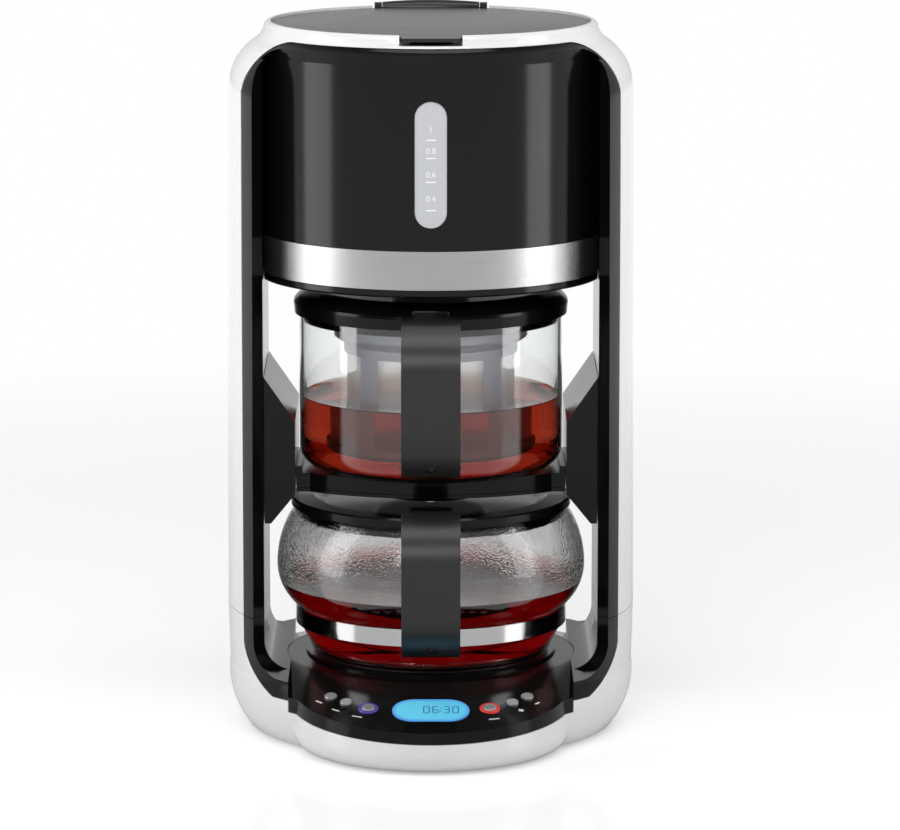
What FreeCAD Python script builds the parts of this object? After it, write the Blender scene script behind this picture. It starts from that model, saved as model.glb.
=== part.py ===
import FreeCAD, Part
import math
import os

import Sketcher

# Automatic tea maker: a round tower with an open arch. A water tank on top sprays into a
# brew vessel on a shelf, and the brewed tea drains into a serving jug on a hot plate.
# Millimetres, +Z up, +Y to the back. Shapes are drawn about the upright axis of the two
# vessels, and every finished piece is then set back so that the origin is the middle of
# the footprint.

os.makedirs("parts", exist_ok=True)
doc = FreeCAD.newDocument("tea_maker")
sheet = doc.addObject("Spreadsheet::Sheet", "sizes")
Vector = FreeCAD.Vector


# Sizes

class Size:
    """A length and the sheet formula that gives it, so that a shape stays bound to the sheet."""

    def __init__(self, value, formula):
        self.value = value
        self.formula = formula

    def __add__(self, other):
        other = as_size(other)
        return Size(self.value + other.value, f"({self.formula} + {other.formula})")

    def __radd__(self, other):
        return as_size(other) + self

    def __sub__(self, other):
        other = as_size(other)
        return Size(self.value - other.value, f"({self.formula} - {other.formula})")

    def __rsub__(self, other):
        return as_size(other) - self

    def __mul__(self, other):
        other = as_size(other)
        return Size(self.value * other.value, f"({self.formula} * {other.formula})")

    def __rmul__(self, other):
        return as_size(other) * self

    def __truediv__(self, other):
        other = as_size(other)
        return Size(self.value / other.value, f"({self.formula} / {other.formula})")

    def __neg__(self):
        return Size(-self.value, f"(-1 * {self.formula})")


def as_size(number):
    return number if isinstance(number, Size) else Size(number, f"{number:.9g}")


def root(size):
    return Size(math.sqrt(size.value), f"sqrt({size.formula})")


def sine(angle):
    return Size(math.sin(math.radians(angle.value)), f"sin({angle.formula} * 1 deg)")


def cosine(angle):
    return Size(math.cos(math.radians(angle.value)), f"cos({angle.formula} * 1 deg)")


row_count = 0


def size(name, value):
    """Write one named size to the sheet."""
    global row_count
    row_count += 1
    sheet.set(f"A{row_count}", name)
    sheet.set(f"B{row_count}", str(value))
    sheet.setAlias(f"B{row_count}", name)
    return Size(value, f"sizes.{name}")


# Shell and stance
shell_radius = size("shell_radius", 115.5)
shell_wall = size("shell_wall", 2.8)
shell_draft = size("shell_draft", 1.5)
foot_height = size("foot_height", 1.2)
foot_radius = size("foot_radius", 7)
front_foot_across = size("front_foot_across", 42)
front_foot_back = size("front_foot_back", -92)
rear_foot_across = size("rear_foot_across", 70)
rear_foot_back = size("rear_foot_back", 67)
base_bottom_radius = size("base_bottom_radius", 104)
base_curve_height = size("base_curve_height", 36)
base_curve_inset = size("base_curve_inset", 0.9)
base_curve_radius = size("base_curve_radius", 46)
seam_height = size("seam_height", 70)
seam_gap = size("seam_gap", 0.4)
front_reach = size("front_reach", 140)
shoulder_start = size("shoulder_start", 363)
shoulder_radius = size("shoulder_radius", 32.8)
shoulder_inset = size("shoulder_inset", 14.7)
shoulder_rise = size("shoulder_rise", 27.3)
rim_top = size("rim_top", 400.8)
rim_radius = size("rim_radius", 91.8)
fit_gap = size("fit_gap", 0.3)

# Arch through the tower and the black frame round it
arch_half_width = size("arch_half_width", 93.5)
arch_half_depth = size("arch_half_depth", 50)
frame_back = size("frame_back", 44)
ridge_half_width = size("ridge_half_width", 99.4)
ridge_half_depth = size("ridge_half_depth", 58)
frame_half_width = size("frame_half_width", 105.3)
frame_top = size("frame_top", 394)
frame_corner_width = size("frame_corner_width", 28.3)
frame_corner_height = size("frame_corner_height", 28)
frame_corner_radius = size("frame_corner_radius", 38)
frame_foot_height = size("frame_foot_height", 29)
frame_foot_rise = size("frame_foot_rise", 26)
frame_foot_width = size("frame_foot_width", 17)
frame_foot_radius = size("frame_foot_radius", 36)
ridge_top = size("ridge_top", 390.5)
opening_top = size("opening_top", 384.3)
opening_corner = size("opening_corner", 19)
ridge_corner_radius = size("ridge_corner_radius", 21)
rear_opening_top = size("rear_opening_top", 257.7)
rear_frame_height = size("rear_frame_height", 10)
liner_thickness = size("liner_thickness", 2.5)

# Base, control panel and hot plate
bump_radius = size("bump_radius", 79)
bump_edge = size("bump_edge", 12)
deck_height = size("deck_height", 39.4)
deck_radius = size("deck_radius", 83)
deck_wall = size("deck_wall", 2.8)
panel_slope = size("panel_slope", 0.27)
panel_half_width = size("panel_half_width", 79.5)
panel_front_line = size("panel_front_line", 17)
panel_line_slope = size("panel_line_slope", 0.09)
plate_radius = size("plate_radius", 66)
plate_top = size("plate_top", 41)
plate_thickness = size("plate_thickness", 3)
plate_ring_radius = size("plate_ring_radius", 71)
bottom_opening_radius = size("bottom_opening_radius", 88)
bottom_plate_radius = size("bottom_plate_radius", 99)
bottom_plate_thickness = size("bottom_plate_thickness", 2)
screw_circle = size("screw_circle", 93.5)
screw_head_radius = size("screw_head_radius", 3)
screw_shank_radius = size("screw_shank_radius", 1.5)

# Buttons and display
panel_tilt = size("panel_tilt", 15.1)
small_button_radius = size("small_button_radius", 3.5)
round_cap_radius = size("round_cap_radius", 3.8)
light_ring_radius = size("light_ring_radius", 5.7)
button_rise = size("button_rise", 1.4)
button_travel = size("button_travel", 1)
button_stem = size("button_stem", 5.2)
button_clearance = size("button_clearance", 0.2)
controls = [
    ("menu", size("menu_across", -55.5), size("menu_back", -91.2), "small"),
    ("clock", size("clock_across", -46.8), size("clock_back", -100.5), "small"),
    ("program", size("program_across", -34.5), size("program_back", -109.7), "round"),
    ("start", size("start_across", 32.5), size("start_back", -109.8), "round"),
    ("plus", size("plus_across", 45.0), size("plus_back", -101.2), "small"),
    ("minus", size("minus_across", 53.4), size("minus_back", -91.9), "small"),
]
display_width = size("display_width", 42.5)
display_height = size("display_height", 25)
display_reach = size("display_reach", 114.3)
lens_thickness = size("lens_thickness", 1.5)
board_thickness = size("board_thickness", 1.6)
board_depth = size("board_depth", 13)
board_half_width = size("board_half_width", 58)

# Water tank
tank_radius = size("tank_radius", 97.5)
tank_wall = size("tank_wall", 2.5)
tank_bottom = size("tank_bottom", 257.7)
band_bottom = size("band_bottom", 261.7)
band_top = size("band_top", 283.6)
band_thickness = size("band_thickness", 1.5)
window_width = size("window_width", 17.8)
window_bottom = size("window_bottom", 296.1)
window_top = size("window_top", 365.5)
liner_radius = size("liner_radius", 88)
liner_bottom = size("liner_bottom", 290)
liner_wall = size("liner_wall", 2)
ledge_radius = size("ledge_radius", 84)
lid_seat = size("lid_seat", 396.7)
lid_radius = size("lid_radius", 89.2)
lid_edge = size("lid_edge", 2.6)
lid_dome = size("lid_dome", 1.6)
tab_half_width = size("tab_half_width", 16)
tab_gap = size("tab_gap", 1.2)
tab_reach = size("tab_reach", 5.5)
hinge_reach = size("hinge_reach", 90)
hinge_height = size("hinge_height", 399.6)
hinge_half_length = size("hinge_half_length", 28)
hinge_radius = size("hinge_radius", 4.2)
hinge_end_radius = size("hinge_end_radius", 2.9)
hinge_bend = size("hinge_bend", 300)
pin_radius = size("pin_radius", 1.5)
pin_clearance = size("pin_clearance", 0.05)
ear_thickness = size("ear_thickness", 4.5)
spray_radius = size("spray_radius", 22)
spray_thickness = size("spray_thickness", 4)
tube_radius = size("tube_radius", 4)
tube_wall = size("tube_wall", 1)
tube_reach = size("tube_reach", 103)
tube_bend = size("tube_bend", 9)
drain_across = size("drain_across", -60)
heater_radius = size("heater_radius", 50)
heater_thickness = size("heater_thickness", 5)

# Shelf between the vessels
shelf_bottom = size("shelf_bottom", 137.4)
shelf_top = size("shelf_top", 148)
shelf_wall = size("shelf_wall", 2)
shelf_half_width = size("shelf_half_width", 68)
shelf_shoulder_depth = size("shelf_shoulder_depth", 30)
shelf_front_depth = size("shelf_front_depth", 52)
shelf_arc = size("shelf_arc", 116)
wing_half_width = size("wing_half_width", 76)
wing_top = size("wing_top", 205.3)
wing_upper = size("wing_upper", 180.3)
wing_lower = size("wing_lower", 138.8)
wing_bottom = size("wing_bottom", 122.2)
wing_foot_width = size("wing_foot_width", 89.6)
wing_half_depth = size("wing_half_depth", 46)
funnel_radius = size("funnel_radius", 35)
funnel_bottom = size("funnel_bottom", 131.8)
outlet_radius = size("outlet_radius", 13)
valve_stem_radius = size("valve_stem_radius", 3.7)
valve_head_radius = size("valve_head_radius", 8)
valve_lift = size("valve_lift", 1.5)

# Brew vessel
glass_wall = size("glass_wall", 2.2)
brew_radius = size("brew_radius", 74.5)
brew_rim = size("brew_rim", 236)
brew_corner = size("brew_corner", 12)
brew_lid_radius = size("brew_lid_radius", 77.7)
brew_lid_top = size("brew_lid_top", 250.3)
strainer_radius = size("strainer_radius", 49.2)
strainer_flange = size("strainer_flange", 54.7)
strainer_bottom = size("strainer_bottom", 157.6)
strainer_step = size("strainer_step", 223)
strainer_wall = size("strainer_wall", 1.4)
strainer_window_bottom = size("strainer_window_bottom", 164)
strainer_window_top = size("strainer_window_top", 214)
window_half = size("strainer_window_half", 29.5)
handle_half_width = size("handle_half_width", 16.2)
handle_reach = size("handle_reach", 119)
handle_thickness = size("handle_thickness", 6)

# Serving jug
jug_rim_radius = size("jug_rim_radius", 77)
jug_rim = size("jug_rim", 125)
jug_belly_radius = size("jug_belly_radius", 87.6)
jug_belly_height = size("jug_belly_height", 91.5)
jug_waist_radius = size("jug_waist_radius", 75.9)
jug_waist_height = size("jug_waist_height", 68.1)
jug_waist_bottom = size("jug_waist_bottom", 58.2)
jug_foot_radius = size("jug_foot_radius", 69)
jug_lid_radius = size("jug_lid_radius", 79.5)
jug_band_thickness = size("jug_band_thickness", 0.9)
jug_tab_half_width = size("jug_tab_half_width", 11.5)

rear_reach = shell_radius - base_curve_inset
frame_shift = (front_reach - rear_reach) / 2
doc.recompute()


# Drawing helpers

def bind(piece, path, length):
    piece.setExpression(path, as_size(length).formula)


def plane_of(body, role):
    for feature in body.Origin.OriginFeatures:
        if feature.Role == role:
            return feature
    raise ValueError(f"no plane {role}")


def mirrored(points):
    """Close a right-hand outline, drawn upwards, with its mirror image on the left."""
    count = len(points)
    right = [tuple(point) for point in points]
    left = []
    for index in range(count - 1, -1, -1):
        bend = points[index - 1][2:] if index > 0 else ()
        left.append((-as_size(points[index][0]), points[index][1]) + tuple(bend))
    right[-1] = right[-1][:2]
    return right + left


def arc_between(start, end, bend):
    """A short arc from start to end. A positive bend has its centre on the left of the way."""
    radius = abs(bend)
    middle = (start + end) * 0.5
    half = (end - start).Length / 2
    way = (end - start).normalize()
    left = Vector(-way.y, way.x, 0)
    offset = math.sqrt(max(radius * radius - half * half, 0))
    centre = middle + left * (offset if bend > 0 else -offset)
    from_angle = math.atan2(start.y - centre.y, start.x - centre.x)
    to_angle = math.atan2(end.y - centre.y, end.x - centre.x)
    circle = Part.Circle(centre, Vector(0, 0, 1), radius)
    if bend > 0:
        return Part.ArcOfCircle(circle, from_angle, to_angle)
    return Part.ArcOfCircle(circle, to_angle, from_angle)


def fix_point(sketch, edge, end, across, up):
    """Hold one sketch point at a place that the sheet gives."""
    for axis, kind, place in ((-2, "DistanceX", as_size(across)), (-1, "DistanceY", as_size(up))):
        if place.value == 0:
            sketch.addConstraint(Sketcher.Constraint("PointOnObject", edge, end, axis))
            continue
        number = sketch.addConstraint(Sketcher.Constraint(kind, -1, 1, edge, end, place.value))
        sketch.setExpression(f"Constraints[{number}]", place.formula)


def draw(sketch, points, closed=True):
    """Draw an outline. A third number at a point bends the edge that leaves it."""
    count = len(points)
    places = [Vector(as_size(p[0]).value, as_size(p[1]).value, 0) for p in points]
    ends = []
    for index in range(count if closed else count - 1):
        start = places[index]
        end = places[(index + 1) % count]
        bend = as_size(points[index][2]) if len(points[index]) > 2 else None
        if bend is None:
            edge = sketch.addGeometry(Part.LineSegment(start, end), False)
            ends.append((edge, 1, 2))
        else:
            edge = sketch.addGeometry(arc_between(start, end, bend.value), False)
            ends.append((edge, 1, 2) if bend.value > 0 else (edge, 2, 1))
    for index, (edge, first, last) in enumerate(ends):
        if closed or index + 1 < len(ends):
            following = ends[(index + 1) % len(ends)]
            sketch.addConstraint(
                Sketcher.Constraint("Coincident", edge, last, following[0], following[1]))
        fix_point(sketch, edge, first, points[index][0], points[index][1])
        if len(points[index]) > 2:
            bend = as_size(points[index][2])
            number = sketch.addConstraint(Sketcher.Constraint("Radius", edge, abs(bend.value)))
            sketch.setExpression(f"Constraints[{number}]", f"abs({bend.formula})")
    if not closed:
        fix_point(sketch, ends[-1][0], ends[-1][2], points[-1][0], points[-1][1])


def new_body(name):
    body = doc.addObject("PartDesign::Body", name)
    body.Label = name
    return body


def new_sketch(body, role, offset=0):
    sketch = body.newObject("Sketcher::SketchObject", f"{body.Name}_sketch")
    sketch.AttachmentSupport = [(plane_of(body, role), "")]
    sketch.MapMode = "FlatFace"
    bind(sketch, "AttachmentOffset.Base.z", offset)
    return sketch


def turned(name, points, angle=360):
    """A body turned about the upright axis from a right-hand profile."""
    body = new_body(name)
    sketch = new_sketch(body, "XZ_Plane")
    draw(sketch, points)
    turning = body.newObject("PartDesign::Revolution", f"{name}_turning")
    turning.Profile = sketch
    turning.ReferenceAxis = (sketch, ["V_Axis"])
    turning.Angle = angle
    return body


def padded(name, role, points, start, length):
    """A body padded from an outline on one of its own planes, moved off that plane by start."""
    body = new_body(name)
    sketch = new_sketch(body, role, start)
    draw(sketch, points)
    pad = body.newObject("PartDesign::Pad", f"{name}_pad")
    pad.Profile = sketch
    bind(pad, "Length", length)
    return body


def place(piece, across=0, back=0, up=0):
    bind(piece, "Placement.Base.x", across)
    bind(piece, "Placement.Base.y", back)
    bind(piece, "Placement.Base.z", up)
    return piece


def cylinder(name, radius, height, across=0, back=0, up=0):
    piece = doc.addObject("Part::Cylinder", name)
    bind(piece, "Radius", radius)
    bind(piece, "Height", height)
    return place(piece, across, back, up)


def box(name, low, high):
    """A box between two corners."""
    piece = doc.addObject("Part::Box", name)
    for path, start, end in zip(("Length", "Width", "Height"), low, high):
        bind(piece, path, as_size(end) - start)
    return place(piece, *low)


def joined(kind, name, first, others):
    for index, other in enumerate(others):
        last = index == len(others) - 1
        step = doc.addObject(kind, name if last else f"{name}_step{index}")
        step.Base = first
        step.Tool = other
        first = step
    first.Label = name
    return first


def cut(name, first, *others):
    return joined("Part::Cut", name, first, others)


def fuse(name, first, *others):
    return joined("Part::Fuse", name, first, others)


def common(name, first, *others):
    return joined("Part::Common", name, first, others)


pieces = []


def finish(piece, name=None):
    """Set one finished piece back into the frame of the whole object."""
    if name:
        piece.Label = name
    if piece.ExpressionEngine and any(path == "Placement.Base.y" for path, _ in piece.ExpressionEngine):
        raise ValueError(f"{piece.Label} is already placed")
    bind(piece, "Placement.Base.y", frame_shift)
    pieces.append(piece)
    return piece


def finish_placed(piece, name):
    """The same for a primitive whose own placement is in use: it is wrapped in a compound."""
    wrap = doc.addObject("Part::Compound", f"{name}_piece")
    wrap.Links = [piece]
    return finish(wrap, name)


# Outer form of the tower and of the base

bump_centre = bump_radius - front_reach
shell_top_radius = shell_radius - shell_draft
shoulder_end_radius = shell_top_radius - shoulder_inset
shoulder_end = shoulder_start + shoulder_rise
seam_top = seam_height + seam_gap
ledge_thickness = liner_wall + fit_gap


def tower_outline(bottom):
    """The solid form inside the outer skin, from a height up to the rim."""
    return [(0, bottom), (shell_radius, bottom), (shell_top_radius, shoulder_start, shoulder_radius),
            (shoulder_end_radius, shoulder_end, -11), (rim_radius + 2, rim_top - 2.4, 4),
            (rim_radius, rim_top), (0, rim_top)]


inner_shoulder_radius = shoulder_radius - shell_wall


def base_form(name):
    """The solid outer form of the base: a round drum with a rounded bump at the front."""
    bottom_edge = foot_height + base_curve_height
    drum = turned(f"{name}_drum", [
        (0, foot_height), (base_bottom_radius, foot_height, base_curve_radius),
        (shell_radius - base_curve_inset, bottom_edge), (shell_radius, seam_height), (0, seam_height)])
    bump = turned(f"{name}_bump", [
        (0, foot_height), (bump_radius - bump_edge / 2, foot_height, bump_edge),
        (bump_radius, foot_height + bump_edge - 1), (bump_radius - 0.4, deck_height), (0, deck_height)])
    place(bump, 0, bump_centre, 0)
    return fuse(name, drum, bump)


# Cutters for the line between white shell and black frame

def frame_prism(name, shrink, low, front):
    """Everything inside the frame's outer line, at the front or at the back."""
    half = frame_half_width - shrink
    if front:
        top = frame_top - shrink
        points = [(half, low), (half, top - frame_corner_height, frame_corner_radius),
                  (half - frame_corner_width, top)]
        return padded(name, "XZ_Plane", mirrored(points), frame_back, front_reach)
    top = rear_opening_top + rear_frame_height - shrink
    points = [(half, low), (half, top - 14, 14), (half - 14, top)]
    return padded(name, "XZ_Plane", mirrored(points), -(frame_back + front_reach), front_reach)


def frame_foot_prism(name, shrink, front):
    """The same line below the seam, where it curves in under the frame's foot."""
    half = frame_half_width - shrink
    low = frame_foot_height + shrink
    points = [(half - frame_foot_width, low, frame_foot_radius), (half, low + frame_foot_rise),
              (half, seam_height + 10)]
    start = frame_back if front else -(frame_back + front_reach)
    return padded(name, "XZ_Plane", mirrored(points), start, front_reach)


def bump_wedge(name, shrink):
    """Everything above the sloping line round the bump."""
    low_front = panel_front_line + shrink
    reach_front = -(front_reach + 5)
    reach_back = -panel_half_width
    rise = panel_line_slope * (front_reach - panel_half_width)
    return padded(name, "YZ_Plane", [
        (reach_front, low_front), (reach_back, low_front + rise),
        (reach_back, seam_height + 10), (reach_front, seam_height + 10)],
        -(panel_half_width - shrink), 2 * (panel_half_width - shrink))


def arch_cutter(name, front, grow=0):
    """The arch opening: straight between the column walls, then flared out to the ridge."""
    sign = 1 if front else -1
    top = opening_top if front else rear_opening_top
    ridge_rise = 0 if front else 4
    corner = 7
    foot = deck_height + 0.2

    def outline(half, lift):
        low_corner = (half - 13, foot, 17)
        return mirrored([low_corner, (half, foot + 15), (half, top + lift - corner, corner),
                         (half - corner, top + lift)])

    body = new_body(name)
    inner = new_sketch(body, "XZ_Plane", 0)
    draw(inner, outline(arch_half_width, 0))
    pad = body.newObject("PartDesign::Pad", f"{name}_straight")
    pad.Profile = inner
    bind(pad, "Length", arch_half_depth)
    pad.Reversed = not front
    near = new_sketch(body, "XZ_Plane", sign * arch_half_depth)
    draw(near, outline(arch_half_width, 0))
    far = new_sketch(body, "XZ_Plane", sign * ridge_half_depth)
    draw(far, outline(ridge_half_width, ridge_rise))
    flare = body.newObject("PartDesign::AdditiveLoft", f"{name}_flare")
    flare.Profile = near
    flare.Sections = [far]
    flare.Ruled = True
    last = new_sketch(body, "XZ_Plane", sign * ridge_half_depth)
    draw(last, outline(ridge_half_width, ridge_rise))
    outside = body.newObject("PartDesign::Pad", f"{name}_outside")
    outside.Profile = last
    bind(outside, "Length", front_reach)
    outside.Reversed = not front
    return body


# White tower shell, with its rim, lid ledge and the places for the hinge and the finger tab

tower = turned("tower_form", tower_outline(seam_top))
tower_hollow = turned("tower_hollow", [
    (0, seam_top - 1), (shell_radius - shell_wall, seam_top - 1),
    (shell_top_radius - shell_wall, shoulder_start, inner_shoulder_radius),
    (shoulder_end_radius - 4, lid_seat - ledge_thickness - 3.4),
    (rim_radius - 3, lid_seat - ledge_thickness), (0, lid_seat - ledge_thickness)])
lid_well = cylinder("lid_well", lid_radius + 0.6, rim_top, 0, 0, lid_seat)
tank_mouth = cylinder("tank_mouth", ledge_radius, rim_top, 0, 0, shoulder_start)
finger_recess = box("finger_recess", (-(tab_half_width + tab_gap), -(lid_radius + 10), lid_seat - 1.4),
                    (tab_half_width + tab_gap, -(lid_radius - 6), rim_top + 5))
hinge_recess = box("hinge_recess", (-(hinge_half_length + ear_thickness + 1), hinge_reach - 8,
                                    hinge_height - hinge_radius - 0.6),
                   (hinge_half_length + ear_thickness + 1, hinge_reach + 12, rim_top + 5))
tube_hole_height = (band_bottom + band_top) / 2
body_shell = cut("body_shell", tower, tower_hollow, lid_well, tank_mouth, finger_recess, hinge_recess,
                 frame_prism("shell_front_cut", 0, seam_height, True),
                 frame_prism("shell_rear_cut", 0, seam_height, False))
finish(body_shell)

# Black frame round the front of the arch

tower_front = turned("frame_form", tower_outline(seam_top))
tank_clearance = turned("tank_clearance", [
    (0, tank_bottom - 3), (tank_radius + fit_gap, tank_bottom - 3), (tank_radius + fit_gap, opening_top + 3.2),
    (tank_radius - 3, opening_top + 3.2), (tank_radius - 3, rim_top), (0, rim_top)])
facet = turned("facet_ring", [
    (tank_radius + fit_gap, opening_top - 0.5), (shell_radius + 5, opening_top - 0.5),
    (shell_radius + 5, ridge_top), (shoulder_end_radius - 0.2, ridge_top)])
facet_window = padded("facet_window", "XZ_Plane", mirrored([
    (ridge_half_width, opening_top - opening_corner - 10),
    (ridge_half_width, ridge_top - opening_corner, ridge_corner_radius),
    (ridge_half_width - opening_corner, ridge_top)]), frame_back, front_reach)
front_frame = common("front_frame_block", tower_front, frame_prism("front_frame_line", seam_gap, seam_top, True))
front_frame = cut("front_frame", front_frame, arch_cutter("front_arch", True),
                  common("frame_facet", facet, facet_window), tank_clearance)
finish(front_frame)

# Black frame round the back of the arch, which stops under the tank

tower_rear = turned("rear_form", tower_outline(seam_top))
rear_frame = common("rear_frame_block", tower_rear, frame_prism("rear_frame_line", seam_gap, seam_top, False))
rear_clearance = cylinder("rear_clearance", tank_radius + fit_gap, 60, 0, 0, tank_bottom - fit_gap)
rear_frame = cut("rear_frame", rear_frame, arch_cutter("rear_arch", False), rear_clearance)
finish(rear_frame)

# Flat inner walls of the two columns

for side, sign in (("left", -1), ("right", 1)):
    near = sign * arch_half_width
    far = sign * (arch_half_width + liner_thickness)
    low = (near, far)[sign < 0]
    high = (far, near)[sign < 0]
    wall = box(f"wall_block_{side}", (low, -(frame_back - 0.2), seam_top),
               (high, frame_back - 0.2, shoulder_start + 12))
    hole = cylinder(f"wall_hole_{side}", tube_radius + fit_gap, 20)
    hole.Placement.Rotation = FreeCAD.Rotation(Vector(0, 1, 0), 90)
    hole_height = tube_hole_height if sign > 0 else liner_bottom - 6
    place(hole, sign * (arch_half_width + 1) - 10, 0, hole_height)
    finish(cut(f"column_wall_{side}", wall, hole))

# White base shell: drum and bump with a wall, open towards the deck, the bottom and the cord

base_outer = base_form("base_outer")
base_hollow_drum = turned("base_hollow_drum", [
    (0, foot_height + shell_wall), (base_bottom_radius - shell_wall, foot_height + shell_wall, base_curve_radius),
    (shell_radius - base_curve_inset - shell_wall, foot_height + base_curve_height),
    (shell_radius - shell_wall, seam_height + 5), (0, seam_height + 5)])
base_hollow_bump = turned("base_hollow_bump", [
    (0, foot_height + shell_wall), (bump_radius - bump_edge / 2 - shell_wall, foot_height + shell_wall, bump_edge),
    (bump_radius - shell_wall, foot_height + shell_wall + bump_edge - 1),
    (bump_radius - shell_wall, seam_height + 5), (0, seam_height + 5)])
place(base_hollow_bump, 0, bump_centre, 0)
bottom_opening = cylinder("bottom_opening", bottom_opening_radius, 20, 0, 0, 0)
gland_height = foot_height + 16
gland_radius = 6
gland_hole = cylinder("gland_hole", gland_radius + fit_gap, 30)
gland_hole.Placement.Rotation = FreeCAD.Rotation(Vector(1, 0, 0), -90)
place(gland_hole, 0, base_bottom_radius - 10, gland_height)
gland_face = shell_radius - 3.1
gland_recess = cylinder("gland_recess", 9 + fit_gap, 20)
gland_recess.Placement.Rotation = FreeCAD.Rotation(Vector(1, 0, 0), -90)
place(gland_recess, 0, gland_face - fit_gap, gland_height)


def around(count, start, radius):
    """Even places on a circle, as bound lengths."""
    for index in range(count):
        angle = math.radians(start + index * 360 / count)
        yield index, radius * round(math.cos(angle), 9), radius * round(math.sin(angle), 9)


screw_holes = []
for index, across, back in around(4, 45, screw_circle):
    head = cylinder(f"screw_head_hole_{index}", screw_head_radius + 0.3, 1.6, across, back, foot_height - 0.1)
    shank = cylinder(f"screw_hole_{index}", screw_shank_radius + 0.2, 5, across, back, foot_height)
    screw_holes.extend([head, shank])
base_shell = cut("base_shell", base_outer, base_hollow_drum, base_hollow_bump, bottom_opening, gland_hole, gland_recess,
                 frame_foot_prism("base_front_cut", 0, True), frame_foot_prism("base_rear_cut", 0, False),
                 bump_wedge("base_bump_cut", 0), *screw_holes)
finish(base_shell)

# Black deck: the control panel, the shallow cone round the hot plate and the frame's feet


def cone_outline(lower, low=0):
    """The part of the deck's section that lies under its sloping face, or over it."""
    reach = front_reach + 12
    edge = deck_height - lower - panel_slope * (reach - deck_radius)
    return reach, edge


ring_bottom = deck_height - 2.3
deck_outer = base_form("deck_outer")
deck_zone = fuse("deck_zone", frame_foot_prism("deck_front_zone", seam_gap, True),
                 frame_foot_prism("deck_rear_zone", seam_gap, False), bump_wedge("deck_bump_zone", seam_gap))
deck_skin = common("deck_skin", deck_outer, deck_zone)
deck_core = cylinder("deck_core", shell_radius - base_curve_inset - shell_wall - 0.6,
                     seam_height - frame_foot_height, 0, 0, frame_foot_height)
deck_block = fuse("deck_block", deck_skin, deck_core)
reach, edge = cone_outline(0)
cone_above = turned("cone_above", [
    (0, deck_height), (deck_radius, deck_height), (reach, edge), (reach, seam_height + 20), (0, seam_height + 20)])
cone_window = box("cone_window", (-panel_half_width, -(front_reach + 20), 0),
                  (panel_half_width, shell_radius + 20, seam_height + 20))
deck_cone = common("deck_cone", cone_above, cone_window)
reach, edge = cone_outline(deck_wall)
cone_below = turned("cone_below", [
    (0, 0), (reach, 0), (reach, edge), (deck_radius, deck_height - deck_wall), (0, deck_height - deck_wall)])
deck_room_drum = cylinder("deck_room_drum", shell_radius - base_curve_inset - shell_wall - 4, seam_height, 0, 0, 0)
deck_room_bump = cylinder("deck_room_bump", bump_radius - shell_wall, seam_height, 0, bump_centre, 0)
deck_room = common("deck_room", fuse("deck_rooms", deck_room_drum, deck_room_bump), cone_below)
column_room_ring = cylinder("column_room_ring", shell_radius - base_curve_inset - shell_wall - 4,
                            seam_height * 2, 0, 0, 0)
column_rooms = []
for side, sign in (("left", -1), ("right", 1)):
    inner = arch_half_width + shell_wall
    outer = shell_radius + 10
    low = inner if sign > 0 else -outer
    high = outer if sign > 0 else -inner
    column_rooms.append(box(f"column_room_{side}", (low, -(frame_back - 4), 0), (high, frame_back - 4, seam_height * 2)))
column_room = common("column_room", column_room_ring, fuse("column_rooms", *column_rooms))
tube_channel = box("tube_channel", (-tube_reach, -(tube_radius + 1), 0), (tube_reach, tube_radius + 1, ring_bottom))
deck_hole = cylinder("deck_hole", deck_radius - 1, seam_height, 0, 0, 0)

# Places on the sloping panel. Each is the spot where a control's centre line leaves the cone.


def panel_height(across, back):
    distance = root(across * across + back * back)
    return deck_height - panel_slope * (distance - deck_radius)


def on_panel(piece, across, back, depth):
    """Put a piece that is drawn along +Z square to the panel, its origin at a depth under the face."""
    piece.Placement.Rotation = FreeCAD.Rotation(Vector(1, 0, 0), panel_tilt.value)
    bind(piece, "Placement.Rotation.Angle", Size(panel_tilt.value, f"{panel_tilt.formula} * 1 deg"))
    return place(piece, across, back + sine(panel_tilt) * depth,
                 panel_height(across, back) - cosine(panel_tilt) * depth)


panel_holes = []
for name, across, back, kind in controls:
    radius = small_button_radius if kind == "small" else light_ring_radius
    hole = cylinder(f"{name}_hole", radius + button_clearance, 24)
    on_panel(hole, across, back, 12)
    panel_holes.append(hole)


def stadium(width, height):
    """A slot-shaped outline, wider than it is high or the other way round."""
    if width.value > height.value:
        half = width / 2 - height / 2
        bend = height / 2
        return [(-half, -bend), (half, -bend, bend), (half + bend, 0, bend), (half, bend),
                (-half, bend, bend), (-(half + bend), 0, bend)]
    half = height / 2 - width / 2
    bend = width / 2
    return [(bend, -half), (bend, half, bend), (0, half + bend, bend), (-bend, half),
            (-bend, -half, bend), (0, -(half + bend), bend)]


display_hole = padded("display_hole", "XY_Plane", stadium(display_width + fit_gap, display_height + fit_gap), 0, 24)
on_panel(display_hole, as_size(0), -display_reach, 12)
control_deck = cut("control_deck", deck_block, arch_cutter("deck_front_arch", True),
                   arch_cutter("deck_rear_arch", False), deck_cone, deck_room, column_room, deck_hole, tube_channel,
                   display_hole, *panel_holes)
finish(control_deck)

# Ring between deck and hot plate, and the plate itself with its raised black rim

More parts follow.
